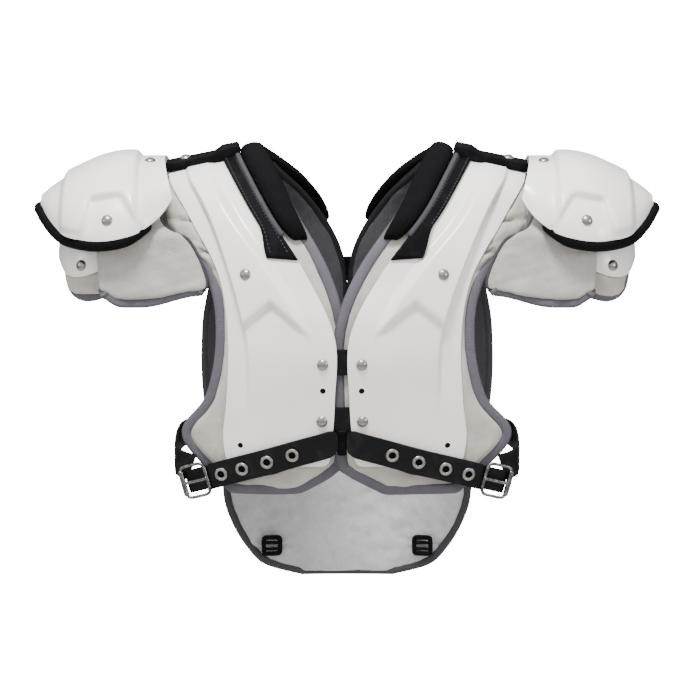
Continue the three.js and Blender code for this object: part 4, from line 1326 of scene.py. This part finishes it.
z = np.linspace(height_at(0.036), height_at(0.122), 40)
t = share_at_height(np.zeros_like(z), z)
lift = np.full_like(z, LAYER_GAP - PAD_TOP + HOOK_HALF_WALL)
path = body_point(-1, t, np.zeros_like(z), lift)
path[:, 0] = path[:, 0] - HOOK_SHIFT
band("hook", path, body_normal(-1, t, np.zeros_like(z)), HOOK_HALF_WIDTH, HOOK_HALF_WALL,
     BLACK_VINYL, ["chest_hook"], sides=24, corner=0.4)

# Lower back pad
# A padded panel in mottled light grey cloth that hangs below the back hems, bound in dark
# grey, with a black moulded ladder clip on each side of its wearer's face.

BACK_PAD_WALL = 0.013
BACK_PAD_HALF = 0.128
BACK_PAD_DROP = 0.391
BACK_PAD_TOP = PAD_TOP + PAD_WALL + PAD_GAP
BACK_LEAN = 0.06
BACK_PAD_EDGE = 0.985    # share of the pad's width and drop at its binding
BACK_PAD = {
    "down": [0.52, 0.66, 0.78, 0.86, 0.93, 0.972, 1.00],
    "wide": [0.93, 0.98, 1.00, 0.93, 0.80, 0.66, 0.36],
}
CLIP_OUT = 0.617 * BACK_PAD_HALF
CLIP_HEIGHT = -0.926 * BACK_PAD_DROP
CLIP_HALF = 0.0085


def mottled_cloth(place, uv):
    threads = weave(uv, 0.0012)
    blots = place.noise(150.0, 4.0, 0.65).between(0.40, 0.62)
    soil = place.noise(24.0, 4.0)
    quilt = place.node("TexVoronoi", {"feature": "SMOOTH_F1"}, "Distance", Vector=place, Scale=75.0)
    return {
        "Base Color": blots.blend((0.39, 0.38, 0.39, 1), (0.43, 0.42, 0.43, 1)),
        "Roughness": 0.72 + 0.12 * soil,
        "Normal": quilt.bump(0.0040, 0.7, threads.bump(0.0002, 0.5)),
    }


MOTTLED = finish("mottled_cloth", mottled_cloth, Sheen__Weight=0.15)


def back_point(x, z, drop):
    hem = height_at(BODY["rise"][-1])
    narrow = 1 - CHEST_CURVE * (x / REACH) ** 2
    share = share_at_height(np.abs(x), np.maximum(z, hem), False)
    forward = np.where(z > hem, smooth(BODY["forward"], share), BODY["forward"][-1])
    lean = np.where(z > hem, 0, BACK_LEAN * (hem - z))
    slant = 2 * CHEST_CURVE * forward * HALF_DEPTH * x / REACH ** 2
    y = forward * HALF_DEPTH * narrow - lean - drop * np.hypot(1, slant)
    return xyz(x, y, z)


def back_pad_point(u, v):
    s = 0.85 * u + 0.15 * (0.5 - 0.5 * np.cos(np.pi * u))
    turn = 2 * np.pi * v
    share = -power(np.cos(turn), 0.8)
    swell = power(np.sin(turn), 0.6) * round_end(u, 0.05)
    x = share * smooth(BACK_PAD["wide"], s) * BACK_PAD_HALF
    z = -smooth(BACK_PAD["down"], s) * BACK_PAD_DROP
    gather = np.zeros_like(x)
    for sign in (-1, 1):
        away = np.hypot(x - sign * CLIP_OUT, z - CLIP_HEIGHT)
        spoke = np.arctan2(z - CLIP_HEIGHT, x - sign * CLIP_OUT)
        gather = gather + np.exp(-(away / 0.028) ** 2) * (0.6 + 0.4 * np.cos(9 * spoke))
    bulge = swell * (BACK_PAD_WALL / 2) * (1 - 0.35 * gather)
    base = xyz(x, 0.0, z)
    soft = 0.0009 * ripple(base, 0.03, 41) + 0.0005 * ripple(base, 0.012, 42)
    return back_point(x, z, BACK_PAD_TOP + BACK_PAD_WALL / 2 + bulge + soft)


back_pad = grid("lower_back_pad", 130, 120, back_pad_point, (0.5, 0.19), 3e-5)
settle(back_pad, [MOTTLED], ["back_pad"], angle=80)

down = np.linspace(0.02, 0.97, 90)
hem = np.linspace(-BACK_PAD_EDGE, BACK_PAD_EDGE, 60)
s = np.concatenate([down, np.full_like(hem, BACK_PAD_EDGE), down[::-1]])
share = np.concatenate([
    np.full_like(down, -BACK_PAD_EDGE), hem, np.full_like(down, BACK_PAD_EDGE)])
x = share * smooth(BACK_PAD["wide"], s) * BACK_PAD_HALF
z = -smooth(BACK_PAD["down"], s) * BACK_PAD_DROP
rim = back_point(x, z, np.full_like(x, BACK_PAD_TOP + BACK_PAD_WALL / 2))
band("back_pad_binding", rim, (0, 1, 0), 0.0042, 0.0048, GREY_TAPE, sides=16,
     corner=0.7)

for side, word in SIDES:
    face = BACK_PAD_TOP + BACK_PAD_WALL + LAYER_GAP
    angle = np.linspace(0, 2 * np.pi, 81)
    x = side * CLIP_OUT + power(np.cos(angle), 0.3) * CLIP_HALF
    z = CLIP_HEIGHT + power(np.sin(angle), 0.3) * CLIP_HALF
    band(f"clip_{word}", back_point(x, z, np.full_like(x, face + 0.0022)), (0, -1, 0), 0.0024,
         0.0024, BLACK_VINYL, [f"back_clip_{word}"], sides=16, corner=0.6,
         ring=True)
    for label, shift in (("upper", 0.003), ("lower", -0.0035)):
        x = side * CLIP_OUT + np.linspace(-0.009, 0.009, 30)
        z = np.full_like(x, CLIP_HEIGHT + shift)
        band(f"clip_bar_{label}_{word}", back_point(x, z, np.full_like(x, face + 0.0026)),
             (0, -1, 0), 0.0017, 0.0018, BLACK_VINYL, sides=14, corner=0.7)
